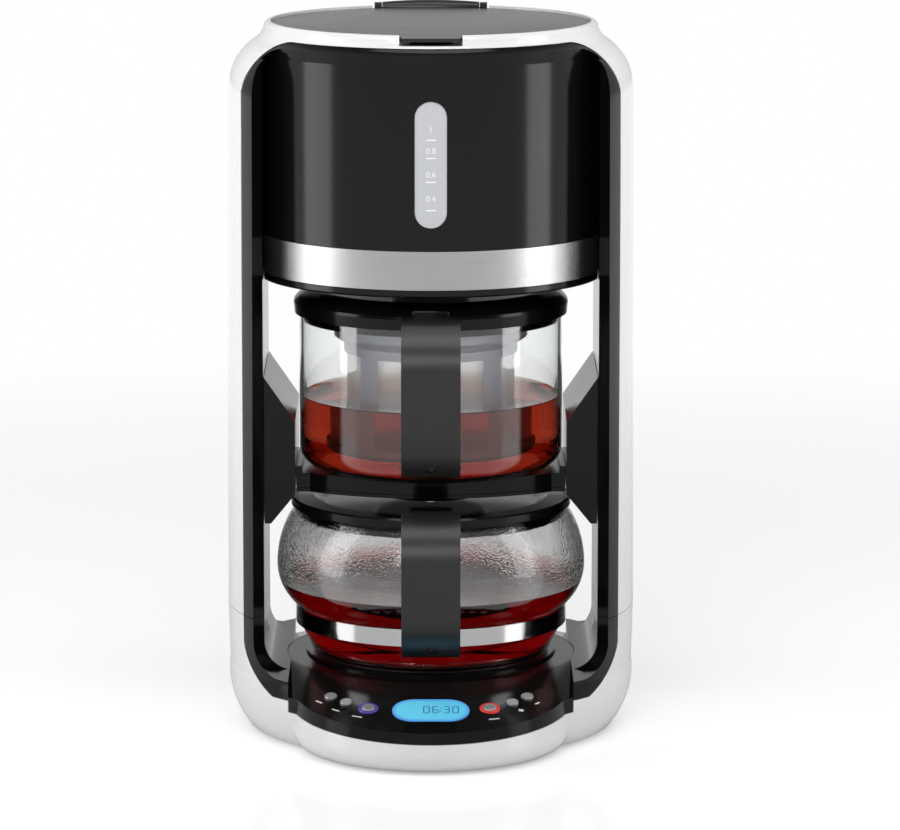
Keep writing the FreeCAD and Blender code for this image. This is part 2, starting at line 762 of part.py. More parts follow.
surround_radius = deck_radius - 1 - fit_gap
finish(turned("plate_surround", [
    (plate_ring_radius + fit_gap, ring_bottom), (surround_radius, ring_bottom), (surround_radius, deck_height),
    (plate_ring_radius + fit_gap, deck_height)]))
finish(turned("plate_rim", [
    (plate_radius + fit_gap, ring_bottom), (plate_ring_radius, ring_bottom), (plate_ring_radius, plate_top - 0.8),
    (plate_ring_radius - 0.8, plate_top), (plate_radius + fit_gap, plate_top)]))
finish(turned("hot_plate", [
    (0, plate_top - plate_thickness), (plate_radius, plate_top - plate_thickness), (plate_radius, plate_top - 0.8),
    (plate_radius - 0.8, plate_top), (0, plate_top)]))

# Heater: a half ring of tube cast under the plate, with the thermostat and the thermal fuse beside it

heater_height = plate_top - plate_thickness - heater_thickness - fit_gap
heater = doc.addObject("Part::Torus", "heater_ring")
bind(heater, "Radius1", heater_radius)
bind(heater, "Radius2", heater_thickness)
heater.Angle3 = 180
place(heater, 0, 0, heater_height)
finish_placed(heater, "water_heater")
thermostat_body = cylinder("thermostat_body", 9, 6, 0, -24, plate_top - plate_thickness - fit_gap - 6)
thermostat_leg = cylinder("thermostat_leg", 5, 4, 0, -24, plate_top - plate_thickness - fit_gap - 9)
finish(fuse("thermostat", thermostat_body, thermostat_leg))
fuse_tube = cylinder("fuse_tube", 2.4, 26)
fuse_tube.Placement.Rotation = FreeCAD.Rotation(Vector(0, 1, 0), 90)
place(fuse_tube, -13, 10, plate_top - plate_thickness - fit_gap - 2.4)
finish_placed(fuse_tube, "thermal_fuse")

# Bottom plate with vents, its screws, the four feet and the gland where a lead would enter

bottom_low = foot_height + shell_wall + fit_gap
bottom_disc = cylinder("bottom_disc", bottom_plate_radius, bottom_plate_thickness, 0, 0, bottom_low)
vents = []
for index in range(7):
    middle = -36 + index * 12
    vents.append(box(f"vent_{index}", (middle - 2, -30, 0), (middle + 2, 30, 20)))
plate_screw_holes = []
screws = []
for index, across, back in around(4, 45, screw_circle):
    plate_screw_holes.append(
        cylinder(f"plate_screw_hole_{index}", screw_shank_radius + 0.1, 8, across, back, bottom_low - 1))
    head = cylinder(f"head_{index}", screw_head_radius, 1.2, across, back, foot_height + 0.2)
    shank = cylinder(f"shank_{index}", screw_shank_radius, 7.5, across, back, foot_height + 1)
    screws.append(fuse(f"screw_{index}", head, shank))
finish(cut("bottom_plate", bottom_disc, *vents, *plate_screw_holes))
screw_group = doc.addObject("Part::Compound", "base_screws")
screw_group.Links = screws
finish(screw_group, "base_screws")

for name, across, back in (("foot_front_left", -front_foot_across, front_foot_back),
                           ("foot_front_right", front_foot_across, front_foot_back),
                           ("foot_rear_left", -rear_foot_across, rear_foot_back),
                           ("foot_rear_right", rear_foot_across, rear_foot_back)):
    foot = turned(f"{name}_pad", [
        (0, 0), (foot_radius - 0.8, 0), (foot_radius, 0.8), (foot_radius, foot_height), (0, foot_height)])
    place(foot, across, back, 0)
    finish_placed(foot, name)

gland = turned("gland_form", [
    (3.5, -8), (gland_radius, -8), (gland_radius, 0), (9, 0), (9, 1), (7.5, 2.2), (3.5, 2.2)])
gland.Placement.Rotation = FreeCAD.Rotation(Vector(1, 0, 0), -90)
place(gland, 0, gland_face, gland_height)
finish_placed(gland, "cord_gland")

# Buttons: sprung caps with a collar under the panel. The two round caps stand in lit rings.

for name, across, back, kind in controls:
    radius = small_button_radius if kind == "small" else round_cap_radius
    collar = radius + 0.9
    collar_top = -(deck_wall + 0.9)
    button = turned(f"{name}_cap", [
        (0, -button_stem), (1.6, -button_stem), (1.6, collar_top - 1), (collar, collar_top - 1),
        (collar, collar_top), (radius, collar_top), (radius, button_rise - 0.5),
        (radius - 0.5, button_rise), (0, button_rise)])
    on_panel(button, across, back, 0)
    finish_placed(button, f"{name}_button")
    if kind == "round":
        inner = round_cap_radius + button_clearance
        ring = turned(f"{name}_light", [
            (inner, -deck_wall), (light_ring_radius, -deck_wall), (light_ring_radius, 0.5),
            (light_ring_radius - 0.4, 0.9), (inner, 0.9)])
        on_panel(ring, across, back, 0)
        finish_placed(ring, f"{name}_ring")

# Display: clear lens flush in the panel, the module under it and the circuit board with its switches

lens = padded("lens_plate", "XY_Plane", stadium(display_width, display_height), -lens_thickness, lens_thickness + 0.3)
on_panel(lens, as_size(0), -display_reach, 0)
finish_placed(lens, "display_lens")
module = box("module_block", (-(display_width / 2 - 2), -(display_height / 2 - 2), 0),
             (display_width / 2 - 2, display_height / 2 - 2, board_depth - deck_wall - 1.2 - fit_gap))
module_at = doc.addObject("Part::Compound", "module_at")
module_at.Links = [module]
on_panel(module_at, as_size(0), -display_reach, board_depth - fit_gap)
finish_placed(module_at, "display_module")
board = padded("board_plate", "XY_Plane", [
    (-34, -(display_height / 2 - 1)), (34, -(display_height / 2 - 1)),
    (board_half_width - 8, display_height / 2 + 6), (board_half_width, display_height + 12),
    (-board_half_width, display_height + 12), (-(board_half_width - 8), display_height / 2 + 6)],
    -board_thickness, board_thickness)
on_panel(board, as_size(0), -display_reach, board_depth)
finish_placed(board, "circuit_board")

# Tank housing: gloss cylinder with flat sides, a step for the steel band and a closed underside

tank_form = turned("tank_form", [
    (0, tank_bottom), (tank_radius - 1, tank_bottom), (tank_radius, tank_bottom + 1), (tank_radius, band_bottom),
    (tank_radius - band_thickness - fit_gap, band_bottom), (tank_radius - band_thickness - fit_gap, band_top),
    (tank_radius, band_top), (tank_radius, opening_top + 2.9), (0, opening_top + 2.9)])
tank_sides = box("tank_sides", (-(arch_half_width - fit_gap), -(tank_radius + 5), tank_bottom - 5),
                 (arch_half_width - fit_gap, tank_radius + 5, rim_top))
tank_room = cylinder("tank_room", tank_radius - tank_wall - band_thickness, 200, 0, 0, tank_bottom + tank_wall)
tank_room_sides = box("tank_room_sides", (-(arch_half_width - fit_gap - tank_wall), -tank_radius, tank_bottom),
                      (arch_half_width - fit_gap - tank_wall, tank_radius, rim_top))
spray_hole = cylinder("spray_hole", 8, 20, 0, 0, tank_bottom - 5)
window_hole = padded("window_hole", "XZ_Plane", [
    (across, up + (window_bottom + window_top) / 2) + tuple(bend)
    for across, up, *bend in stadium(window_width, window_top - window_bottom)], 60, 60)
side_holes = []
for side, sign, height in (("left", -1, liner_bottom - 6), ("right", 1, tube_hole_height)):
    hole = cylinder(f"tank_side_hole_{side}", tube_radius + fit_gap, 16)
    hole.Placement.Rotation = FreeCAD.Rotation(Vector(0, 1, 0), 90)
    place(hole, sign * (arch_half_width - 4) - 8, 0, height)
    side_holes.append(hole)
tank_housing = cut("tank_housing", common("tank_outer", tank_form, tank_sides),
                   common("tank_inner", tank_room, tank_room_sides), spray_hole, window_hole, *side_holes)
finish(tank_housing)

band_ring = turned("band_ring", [
    (tank_radius - band_thickness, band_bottom + fit_gap), (tank_radius, band_bottom + fit_gap),
    (tank_radius, band_top - fit_gap), (tank_radius - band_thickness, band_top - fit_gap)])
band_front = box("band_front", (-(arch_half_width - fit_gap), -(tank_radius + 5), tank_bottom - 5),
                 (arch_half_width - fit_gap, -12, rim_top))
finish(common("steel_band", band_ring, band_front))

window_slot = padded("window_slot", "XZ_Plane", [
    (across, up + (window_bottom + window_top) / 2) + tuple(bend)
    for across, up, *bend in stadium(window_width - fit_gap, window_top - window_bottom - fit_gap)], 60, 60)
window_ring = turned("window_ring", [
    (tank_radius - tank_wall - band_thickness, window_bottom - 2), (tank_radius - 0.3, window_bottom - 2),
    (tank_radius - 0.3, window_top + 2), (tank_radius - tank_wall - band_thickness, window_top + 2)])
finish(common("level_window", window_ring, window_slot))

# Water tank inside the housing, hung by its flange, and the tubes between tank, heater and spray head

flange_top = opening_top + 2.9
flange_radius = tank_radius - tank_wall - band_thickness - fit_gap
tank_liner_form = turned("liner_form", [
    (0, liner_bottom), (liner_radius, liner_bottom), (liner_radius, flange_top - 2),
    (flange_radius, flange_top - 2), (flange_radius, flange_top), (liner_radius, flange_top),
    (liner_radius, lid_seat - ledge_thickness - fit_gap),
    (liner_radius - liner_wall, lid_seat - ledge_thickness - fit_gap),
    (liner_radius - liner_wall, liner_bottom + liner_wall), (0, liner_bottom + liner_wall)])
liner_sides = box("liner_sides", (-(arch_half_width - 2 * fit_gap - tank_wall), -(tank_radius + 5), liner_bottom - 5),
                  (arch_half_width - 2 * fit_gap - tank_wall, tank_radius + 5, rim_top))
drain = cylinder("drain", tube_radius - tube_wall, 10, drain_across, 0, liner_bottom - 4)
finish(cut("water_tank", common("liner_block", tank_liner_form, liner_sides), drain))


tube_start = heater_radius + heater_thickness + fit_gap


def bent_tube(name, route):
    """A tube in the plane of the two columns, along straight runs joined by bends."""
    body = new_body(name)
    path = new_sketch(body, "XZ_Plane")
    draw(path, route, closed=False)
    section = new_sketch(body, "YZ_Plane", route[0][0])
    for radius in (tube_radius, tube_radius - tube_wall):
        circle = Part.Circle(Vector(0, as_size(route[0][1]).value, 0), Vector(0, 0, 1), radius.value)
        edge = section.addGeometry(circle, False)
        fix_point(section, edge, 3, 0, route[0][1])
        number = section.addConstraint(Sketcher.Constraint("Radius", edge, radius.value))
        section.setExpression(f"Constraints[{number}]", radius.formula)
    pipe = body.newObject("PartDesign::AdditivePipe", f"{name}_pipe")
    pipe.Profile = section
    pipe.Spine = (path, [f"Edge{index + 1}" for index in range(len(route) - 1)])
    return body


riser = bent_tube("riser_tube", [
    (tube_start, heater_height), (tube_reach - tube_bend, heater_height, tube_bend),
    (tube_reach, heater_height + tube_bend), (tube_reach, tube_hole_height - tube_bend, tube_bend),
    (tube_reach - tube_bend, tube_hole_height), (tube_bend, tube_hole_height, tube_bend),
    (0, tube_hole_height - tube_bend)])
finish(riser)
feed = bent_tube("feed_tube", [
    (-tube_start, heater_height), (-(tube_reach - tube_bend), heater_height, -tube_bend),
    (-tube_reach, heater_height + tube_bend), (-tube_reach, liner_bottom - 6 - tube_bend, -tube_bend),
    (-(tube_reach - tube_bend), liner_bottom - 6), (drain_across - 5.7, liner_bottom - 6, 5.7),
    (drain_across, liner_bottom - fit_gap)])
finish(feed)

spray = turned("spray_form", [
    (0, tank_bottom - fit_gap - spray_thickness), (spray_radius - 4, tank_bottom - fit_gap - spray_thickness),
    (spray_radius, tank_bottom - fit_gap - 1.5), (spray_radius, tank_bottom - fit_gap),
    (7.7, tank_bottom - fit_gap), (7.7, tube_hole_height - tube_bend - fit_gap),
    (tube_radius - tube_wall, tube_hole_height - tube_bend - fit_gap),
    (tube_radius - tube_wall, tank_bottom - 1.8), (0, tank_bottom - 1.8)])
spray_jets = []
for ring, count in ((8, 6), (15, 10)):
    for index, across, back in around(count, 0, as_size(ring)):
        spray_jets.append(cylinder(f"jet_{ring}_{index}", 0.9, 8, across, back, tank_bottom - 8))
finish(cut("spray_head", spray, *spray_jets))

# Tank lid: a shallow dome with a finger tab and a spindle at the back that turns on the hinge pin

lid_low = lid_seat + fit_gap
lid_disc = turned("lid_disc", [
    (0, lid_low), (lid_radius, lid_low), (lid_radius, lid_low + lid_edge - 0.6),
    (lid_radius - 0.6, lid_low + lid_edge), (lid_radius * 0.82, lid_low + lid_edge + lid_dome * 0.4),
    (lid_radius * 0.5, lid_low + lid_edge + lid_dome * 0.8), (0, lid_low + lid_edge + lid_dome)])
lid_tab = box("lid_tab", (-tab_half_width, -(lid_radius + tab_reach), lid_low + 0.6),
              (tab_half_width, -(lid_radius - 5), lid_low + lid_edge))
spindle = new_body("lid_spindle")
spindle_sketch = new_sketch(spindle, "XZ_Plane")
spindle_rise = hinge_radius - hinge_end_radius
draw(spindle_sketch, [
    (-hinge_half_length, pin_radius + pin_clearance), (hinge_half_length, pin_radius + pin_clearance),
    (hinge_half_length, hinge_end_radius, hinge_bend), (-hinge_half_length, hinge_end_radius)])
spindle_turning = spindle.newObject("PartDesign::Revolution", "spindle_turning")
spindle_turning.Profile = spindle_sketch
spindle_turning.ReferenceAxis = (spindle_sketch, ["H_Axis"])
spindle_turning.Angle = 360
place(spindle, 0, hinge_reach, hinge_height)
lid_pin_room = cylinder("lid_pin_room", hinge_end_radius + 0.2, 2 * hinge_half_length)
lid_pin_room.Placement.Rotation = FreeCAD.Rotation(Vector(0, 1, 0), 90)
place(lid_pin_room, -hinge_half_length, hinge_reach, hinge_height)
ear_rooms = []
for side, sign in (("left", -1), ("right", 1)):
    low = hinge_half_length if sign > 0 else -(hinge_half_length + ear_thickness + 0.8)
    high = hinge_half_length + ear_thickness + 0.8 if sign > 0 else -hinge_half_length
    ear_rooms.append(box(f"ear_room_{side}", (low, hinge_reach - 8, lid_low - 1),
                         (high, hinge_reach + 8, rim_top + 5)))
lid_bore = cylinder("lid_bore", pin_radius + pin_clearance, 2 * hinge_half_length + 20)
lid_bore.Placement.Rotation = FreeCAD.Rotation(Vector(0, 1, 0), 90)
place(lid_bore, -hinge_half_length - 10, hinge_reach, hinge_height)
lid_plate = fuse("lid_plate", lid_disc, lid_tab)
lid_solid = fuse("lid_solid", lid_plate, spindle)
finish(cut("tank_lid", lid_solid, lid_bore, *ear_rooms))

pin_half = hinge_half_length + ear_thickness
hinge_pin = cylinder("hinge_pin_rod", pin_radius, 2 * pin_half)
hinge_pin.Placement.Rotation = FreeCAD.Rotation(Vector(0, 1, 0), 90)
place(hinge_pin, -pin_half, hinge_reach, hinge_height)
finish_placed(hinge_pin, "lid_hinge_pin")
ears = []
for side, sign in (("left", -1), ("right", 1)):
    start = hinge_half_length + fit_gap if sign > 0 else -(hinge_half_length + ear_thickness)
    ear = box(f"ear_block_{side}", (start, hinge_reach - 3, hinge_height - hinge_radius - 0.5),
              (start + ear_thickness - fit_gap, hinge_reach + 3, hinge_height + 2.6))
    ear_bore = cylinder(f"ear_bore_{side}", pin_radius + pin_clearance, 12)
    ear_bore.Placement.Rotation = FreeCAD.Rotation(Vector(0, 1, 0), 90)
    place(ear_bore, start - 3, hinge_reach, hinge_height)
    ears.append(cut(f"hinge_ear_{side}", ear, ear_bore))
ear_pair = doc.addObject("Part::Compound", "ear_pair")
ear_pair.Links = ears
finish(ear_pair, "hinge_ears")

# Wings on the column walls and the shelf that hangs between them

for side, sign in (("left", -1), ("right", 1)):
    wall = arch_half_width - fit_gap
    points = [(sign * wing_foot_width, wing_bottom), (sign * wall, wing_bottom), (sign * wall, wing_top),
              (sign * wing_half_width, wing_upper), (sign * wing_half_width, wing_lower)]
    finish(padded(f"shelf_wing_{side}", "XZ_Plane", points, -wing_half_depth, 2 * wing_half_depth))



def shelf_outline(inset):
    half = wing_half_width - fit_gap - inset
    neck = shelf_half_width - inset
    shoulder = shelf_shoulder_depth - inset
    return [(half, -shoulder), (half, shoulder), (neck, shoulder, shelf_arc), (0, shelf_front_depth - inset, shelf_arc),
            (-neck, shoulder), (-half, shoulder), (-half, -shoulder), (-neck, -shoulder, shelf_arc),
            (0, -(shelf_front_depth - inset), shelf_arc), (neck, -shoulder)]


shelf_block = padded("shelf_block", "XY_Plane", shelf_outline(0), shelf_bottom + shelf_wall + fit_gap,
                     shelf_top - shelf_bottom - shelf_wall - fit_gap)
shelf_room = padded("shelf_room", "XY_Plane", shelf_outline(shelf_wall), shelf_bottom,
                    shelf_top - shelf_bottom - shelf_wall)
shelf_outlet = cylinder("shelf_outlet", outlet_radius, 20, 0, 0, shelf_bottom)
guides = []
for side, sign in (("left", -1), ("right", 1)):
    low = sign * (wing_half_width - fit_gap) if sign < 0 else wing_half_width - 3.5
    high = -(wing_half_width - 3.5) if sign < 0 else wing_half_width - fit_gap
    guides.append(box(f"guide_{side}", (low, -(shelf_shoulder_depth - 0.2), shelf_top - 1),
                      (high, shelf_shoulder_depth - 0.2, shelf_top + 4)))
shelf_solid = fuse("shelf_solid", shelf_block, *guides)
finish(cut("carrier_shelf", shelf_solid, shelf_room, shelf_outlet))
cover_plate = padded("cover_plate", "XY_Plane", shelf_outline(0), shelf_bottom, shelf_wall)
funnel = turned("funnel_cone", [
    (funnel_radius - 5, funnel_bottom), (funnel_radius, shelf_bottom + 0.5), (0, shelf_bottom + 0.5),
    (0, funnel_bottom)])
funnel_bore = turned("funnel_bore", [
    (0, funnel_bottom - 1), (5, funnel_bottom - 1), (5, funnel_bottom + 2), (outlet_radius, shelf_bottom + shelf_wall + 1),
    (0, shelf_bottom + shelf_wall + 1)])
finish(cut("shelf_cover", fuse("cover_solid", cover_plate, funnel), funnel_bore))

# Valve drive in the shelf: a yoke that a magnet lifts, with the pin that opens the brew vessel's valve

yoke_low = shelf_bottom + shelf_wall + fit_gap + 0.4
lift_pin = cylinder("lift_pin_rod", 2.2, shelf_top - 0.4 - yoke_low, 0, 0, yoke_low)
lift_arm = box("lift_arm", (-2.5, 0, yoke_low), (2.5, 30, yoke_low + 2.4))
lift_plunger = cylinder("lift_plunger", 3.5, 3, 0, 30, yoke_low)
finish(fuse("valve_lifter", lift_pin, lift_arm, lift_plunger))
magnet_block = box("magnet_block", (-12, 20, yoke_low), (12, 42, shelf_top - shelf_wall - 0.3))
magnet_room = box("magnet_room", (-3.5, 10, yoke_low - 1), (3.5, 36, yoke_low + 2.4 + valve_lift + 0.8))
magnet_bore = cylinder("magnet_bore", 4.2, 3 + valve_lift + 0.9, 0, 30, yoke_low - 0.1)
finish(cut("valve_magnet", magnet_block, magnet_room, magnet_bore))

# Brew vessel: glass with a drain hole, its valve, the strainer, the lid and the handle

brew_low = shelf_top + fit_gap
brew_hole = valve_head_radius + 1
brew_glass = turned("brew_glass", [
    (brew_hole, brew_low), (brew_radius - brew_corner, brew_low, brew_corner), (brew_radius, brew_low + brew_corner),
    (brew_radius, brew_rim), (brew_radius - glass_wall, brew_rim), (brew_radius - glass_wall, brew_low + brew_corner,
    glass_wall - brew_corner), (brew_radius - brew_corner, brew_low + glass_wall), (brew_hole, brew_low + glass_wall)])
finish(brew_glass)
seat_top = brew_low + glass_wall + 2.4
valve_bore = valve_stem_radius + fit_gap
finish(turned("valve_seat", [
    (valve_bore, brew_low + 0.2), (brew_hole - 0.2, brew_low + 0.2), (brew_hole - 0.2, brew_low + glass_wall + fit_gap),
    (brew_hole + 3.5, brew_low + glass_wall + fit_gap), (brew_hole + 3.5, seat_top), (valve_bore, seat_top)]))
finish(turned("outlet_valve", [
    (0, brew_low + fit_gap), (valve_stem_radius, brew_low + fit_gap), (valve_stem_radius, seat_top + fit_gap),
    (valve_head_radius, seat_top + fit_gap), (valve_head_radius, seat_top + fit_gap + 1.4),
    (valve_head_radius - 2, seat_top + fit_gap + 2.1), (0, seat_top + fit_gap + 2.1)]))

strainer_top = brew_rim - fit_gap
strainer_form = turned("strainer_form", [
    (0, strainer_bottom), (strainer_radius - 2, strainer_bottom), (strainer_radius, strainer_bottom + 2),
    (strainer_radius, strainer_step - 4), (strainer_flange, strainer_step), (strainer_flange, strainer_top),
    (strainer_flange - strainer_wall, strainer_top), (strainer_flange - strainer_wall, strainer_step + 1),
    (strainer_radius - strainer_wall, strainer_step - 3), (strainer_radius - strainer_wall, strainer_bottom + 2.5),
    (0, strainer_bottom + strainer_wall)])
strainer_windows = []
for name, low, high in (("front", (-window_half, -60), (window_half, -10)), ("back", (-window_half, 10), (window_half, 60)),
                        ("left", (-60, -window_half), (-10, window_half)), ("right", (10, -window_half), (60, window_half))):
    strainer_windows.append(box(f"strainer_window_{name}", (low[0], low[1], strainer_window_bottom),
                                (high[0], high[1], strainer_window_top)))
window_band = turned("strainer_window_band", [
    (strainer_radius - 8, strainer_window_bottom - 1), (strainer_radius + 8, strainer_window_bottom - 1),
    (strainer_radius + 8, strainer_window_top + 1), (strainer_radius - 8, strainer_window_top + 1)])
openings = []
for index, block in enumerate(strainer_windows):
    openings.append(common(f"strainer_opening_{index}", window_band, block))
finish(cut("strainer_frame", strainer_form, *openings))
mesh_inner = strainer_radius - strainer_wall - fit_gap
finish(turned("strainer_mesh", [
    (mesh_inner - 0.4, strainer_window_bottom - 3), (mesh_inner, strainer_window_bottom - 3),
    (mesh_inner, strainer_window_top + 3), (mesh_inner - 0.4, strainer_window_top + 3)]))

lid_skirt = brew_radius - glass_wall - 0.6
brew_lid_low = brew_rim + fit_gap
collar_radius = strainer_flange + fit_gap
finish(turned("brew_lid", [
    (15, brew_rim + 5), (28, brew_lid_top), (brew_lid_radius - 13, brew_lid_top, -16),
    (brew_lid_radius - 0.6, brew_rim + 8), (brew_lid_radius, brew_rim + 6.4), (brew_lid_radius - 0.5, brew_lid_low),
    (lid_skirt, brew_lid_low), (lid_skirt, brew_rim - 4), (lid_skirt - 2, brew_rim - 4),
    (lid_skirt - 2, brew_rim + 5), (brew_lid_radius - 15, brew_lid_top - 2.6),
    (collar_radius + 2, brew_lid_top - 2.6), (collar_radius + 2, brew_rim - 5), (collar_radius, brew_rim - 5),
    (collar_radius, brew_lid_top - 2.6), (30, brew_lid_top - 2.6),
    (17, brew_rim + 0.3), (15, brew_rim + 0.3)]))

def handle_screw(name, height, foot):
    """The hole for a handle's screw, and the screw, both lying front to back."""
    holes = []
    for part, radius, front, back in (("head_room", 2.7, handle_reach + 2, handle_reach - 20),
                                      ("shank_room", 1.7, handle_reach, foot + 1)):
        hole = cylinder(f"{name}_{part}", radius, as_size(front) - back)
        hole.Placement.Rotation = FreeCAD.Rotation(Vector(1, 0, 0), -90)
        holes.append(place(hole, 0, -as_size(front), height))
    screw_parts = []
    for part, radius, front, back in (("head", 2.4, handle_reach - 18, handle_reach - 20 + 0.3),
                                      ("shank", 1.5, handle_reach - 19, foot + 1.4)):
        rod = cylinder(f"{name}_{part}", radius, as_size(front) - back)
        rod.Placement.Rotation = FreeCAD.Rotation(Vector(1, 0, 0), -90)
        screw_parts.append(place(rod, 0, -as_size(front), height))
    return holes, fuse(f"{name}_rod", *screw_parts)


inside_reach = handle_reach - handle_thickness
brew_foot = brew_radius + 0.4
handle_low = brew_low + 10
brew_strap = padded("brew_strap", "YZ_Plane", [
    (-brew_foot, handle_low), (-brew_foot, handle_low + 12), (-(brew_foot + 17), handle_low + 12, -22),
    (-inside_reach, handle_low + 32), (-inside_reach, brew_rim - 20, -22), (-(inside_reach - 16), brew_rim - 3),
    (-(brew_foot + 11), brew_rim - 5), (-brew_foot, brew_rim - 12), (-brew_foot, brew_lid_low - 1.2),
    (-(brew_lid_radius + 1.3), brew_lid_low - 1.2), (-(brew_lid_radius + 1.3), brew_lid_top - 4.8),
    (-(handle_reach - 20), brew_lid_top - 4.8, 27), (-handle_reach, brew_rim - 14),
    (-handle_reach, handle_low + 30, 36), (-(handle_reach - 22), handle_low)],
    -handle_half_width, 2 * handle_half_width)
holes, screw = handle_screw("brew_screw", handle_low + 6, brew_foot)
finish(cut("brew_handle", brew_strap, *holes))
finish(screw, "brew_handle_screw")

# Serving jug: bellied glass with a steel clamp band at the waist, a dished lid and the same handle

jug_low = plate_top + fit_gap
belly_drop = jug_belly_height - jug_waist_height
belly_rise = jug_rim - jug_belly_height
waist_step = jug_belly_radius - jug_waist_radius
rim_step = jug_belly_radius - jug_rim_radius
lower_bend = (waist_step * waist_step + belly_drop * belly_drop) / (2 * waist_step)
upper_bend = (rim_step * rim_step + belly_rise * belly_rise) / (2 * rim_step)
jug_inner_foot = jug_foot_radius - glass_wall
finish(turned("jug_glass", [
    (0, jug_low), (jug_foot_radius - 5, jug_low, 5.2), (jug_foot_radius, jug_low + 5),
    (jug_waist_radius - 0.6, jug_waist_bottom), (jug_waist_radius, jug_waist_height, lower_bend),
    (jug_belly_radius, jug_belly_height, upper_bend), (jug_rim_radius, jug_rim),
    (jug_rim_radius - glass_wall, jug_rim, -(upper_bend - glass_wall)),
    (jug_belly_radius - glass_wall, jug_belly_height, -(lower_bend - glass_wall)),
    (jug_waist_radius - glass_wall, jug_waist_height), (jug_waist_radius - glass_wall - 0.6, jug_waist_bottom),
    (jug_inner_foot, jug_low + 5.6, -3), (jug_inner_foot - 2.9, jug_low + glass_wall), (0, jug_low + glass_wall)]))
band_inner = jug_waist_radius + 0.3
band_outer = band_inner + jug_band_thickness
finish(turned("jug_band", [
    (band_inner, jug_waist_bottom), (band_outer, jug_waist_bottom), (band_outer, jug_waist_height - 0.2),
    (band_inner, jug_waist_height - 0.2)]))

jug_lid_low = jug_rim + fit_gap
jug_skirt = jug_rim_radius - glass_wall - 0.6
jug_lid_form = turned("jug_lid_form", [
    (0, jug_lid_low - 1), (jug_skirt - 2, jug_lid_low - 1), (jug_skirt - 2, jug_rim - 6), (jug_skirt, jug_rim - 6),
    (jug_skirt, jug_lid_low), (jug_lid_radius - 0.5, jug_lid_low), (jug_lid_radius, jug_lid_low + 0.8),
    (jug_lid_radius, jug_rim + 5), (jug_lid_radius - 1, jug_rim + 6), (jug_lid_radius - 13, jug_rim + 5.9),
    (jug_lid_radius - 19, jug_rim + 2.2), (0, jug_rim + 2.2)])
tab_front = jug_lid_radius + 9.8
jug_tab = padded("jug_tab", "YZ_Plane", [
    (-(jug_lid_radius - 4), jug_rim + 4), (-(jug_lid_radius + 2), jug_rim + 7.5), (-(tab_front - 3.6), jug_rim + 14.6),
    (-tab_front, jug_rim + 14.6), (-(tab_front - 2), jug_rim + 8), (-(jug_lid_radius - 1), jug_rim + 3)],
    -jug_tab_half_width, 2 * jug_tab_half_width)
jug_inlet = cylinder("jug_inlet", 8, 20, 0, 0, jug_rim - 5)
finish(cut("jug_lid", fuse("jug_lid_solid", jug_lid_form, jug_tab), jug_inlet))

jug_foot = band_outer + 0.3
jug_neck = jug_rim_radius + 4.5
jug_handle_low = jug_waist_bottom - 1.2
jug_strap = padded("jug_strap", "YZ_Plane", [
    (-jug_foot, jug_handle_low), (-jug_foot, jug_waist_height), (-(jug_foot + 16), jug_waist_height, -22),
    (-inside_reach, jug_waist_height + 20), (-inside_reach, jug_rim - 13, -22), (-(inside_reach - 13), jug_rim + 4),
    (-(jug_neck + 8.5), jug_rim + 2), (-jug_neck, jug_rim - 7), (-(jug_neck - 3.3), jug_rim - 0.2),
    (-(jug_neck + 2.5), jug_rim - 0.2), (-(tab_front + 0.7), jug_rim + 5), (-(tab_front + 0.7), jug_rim + 13),
    (-(handle_reach - 18), jug_rim + 13, 27), (-handle_reach, jug_rim - 11), (-handle_reach, jug_handle_low + 29, 36),
    (-(handle_reach - 22), jug_handle_low)], -handle_half_width, 2 * handle_half_width)
holes, screw = handle_screw("jug_screw", jug_handle_low + 6, jug_foot)
finish(cut("jug_handle", jug_strap, *holes))
finish(screw, "jug_handle_screw")

# Every object is checked before anything is written

failed = []
doc.recompute()
for thing in doc.Objects:
    if "Invalid" in thing.State or "Error" in thing.State:
        failed.append(f"{thing.Name} {thing.Label} {thing.State}")
for piece in pieces:
    if piece.Shape.isNull() or not piece.Shape.isValid():
        failed.append(f"{piece.Label} has no valid shape")
if failed:
    raise SystemExit("\n".join(failed))
for piece in pieces:
    piece.Shape.exportStep(os.path.join("parts", f"{piece.Label}.step"))
    print(piece.Label, len(piece.Shape.Solids), round(piece.Shape.Volume / 1000, 2))
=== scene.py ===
import bpy
import math
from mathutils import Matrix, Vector


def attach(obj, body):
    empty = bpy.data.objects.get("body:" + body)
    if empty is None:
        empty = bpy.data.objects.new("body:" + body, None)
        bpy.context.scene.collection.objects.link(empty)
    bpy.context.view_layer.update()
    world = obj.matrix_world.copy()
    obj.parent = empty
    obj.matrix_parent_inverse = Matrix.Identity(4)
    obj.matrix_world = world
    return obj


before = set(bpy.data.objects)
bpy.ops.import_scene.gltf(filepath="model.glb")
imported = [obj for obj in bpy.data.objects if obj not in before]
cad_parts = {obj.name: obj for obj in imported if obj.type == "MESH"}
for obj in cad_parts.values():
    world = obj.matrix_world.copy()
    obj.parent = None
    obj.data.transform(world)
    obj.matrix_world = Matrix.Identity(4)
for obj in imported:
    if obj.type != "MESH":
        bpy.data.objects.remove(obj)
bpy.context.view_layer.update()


# The studio: a long lens a little above the tea maker, as in the photograph,
# a pale floor that keeps its shadow, a white surround and soft panels of light.
AXIS_Y = 0.0127
CAMERA_AWAY = 2.757
CAMERA_HEIGHT = 0.665
CAMERA_PITCH = 79.94
FLOOR_RADIUS = 6
FLOOR_DROP = 0.0002
FLOOR_LIFT = 0.36
FLOOR_FADE = (0.35, 1.3)
SURROUND_DEPTH = (-0.1, 0.6)
SURROUND_STRENGTH = (0.16, 0.75)

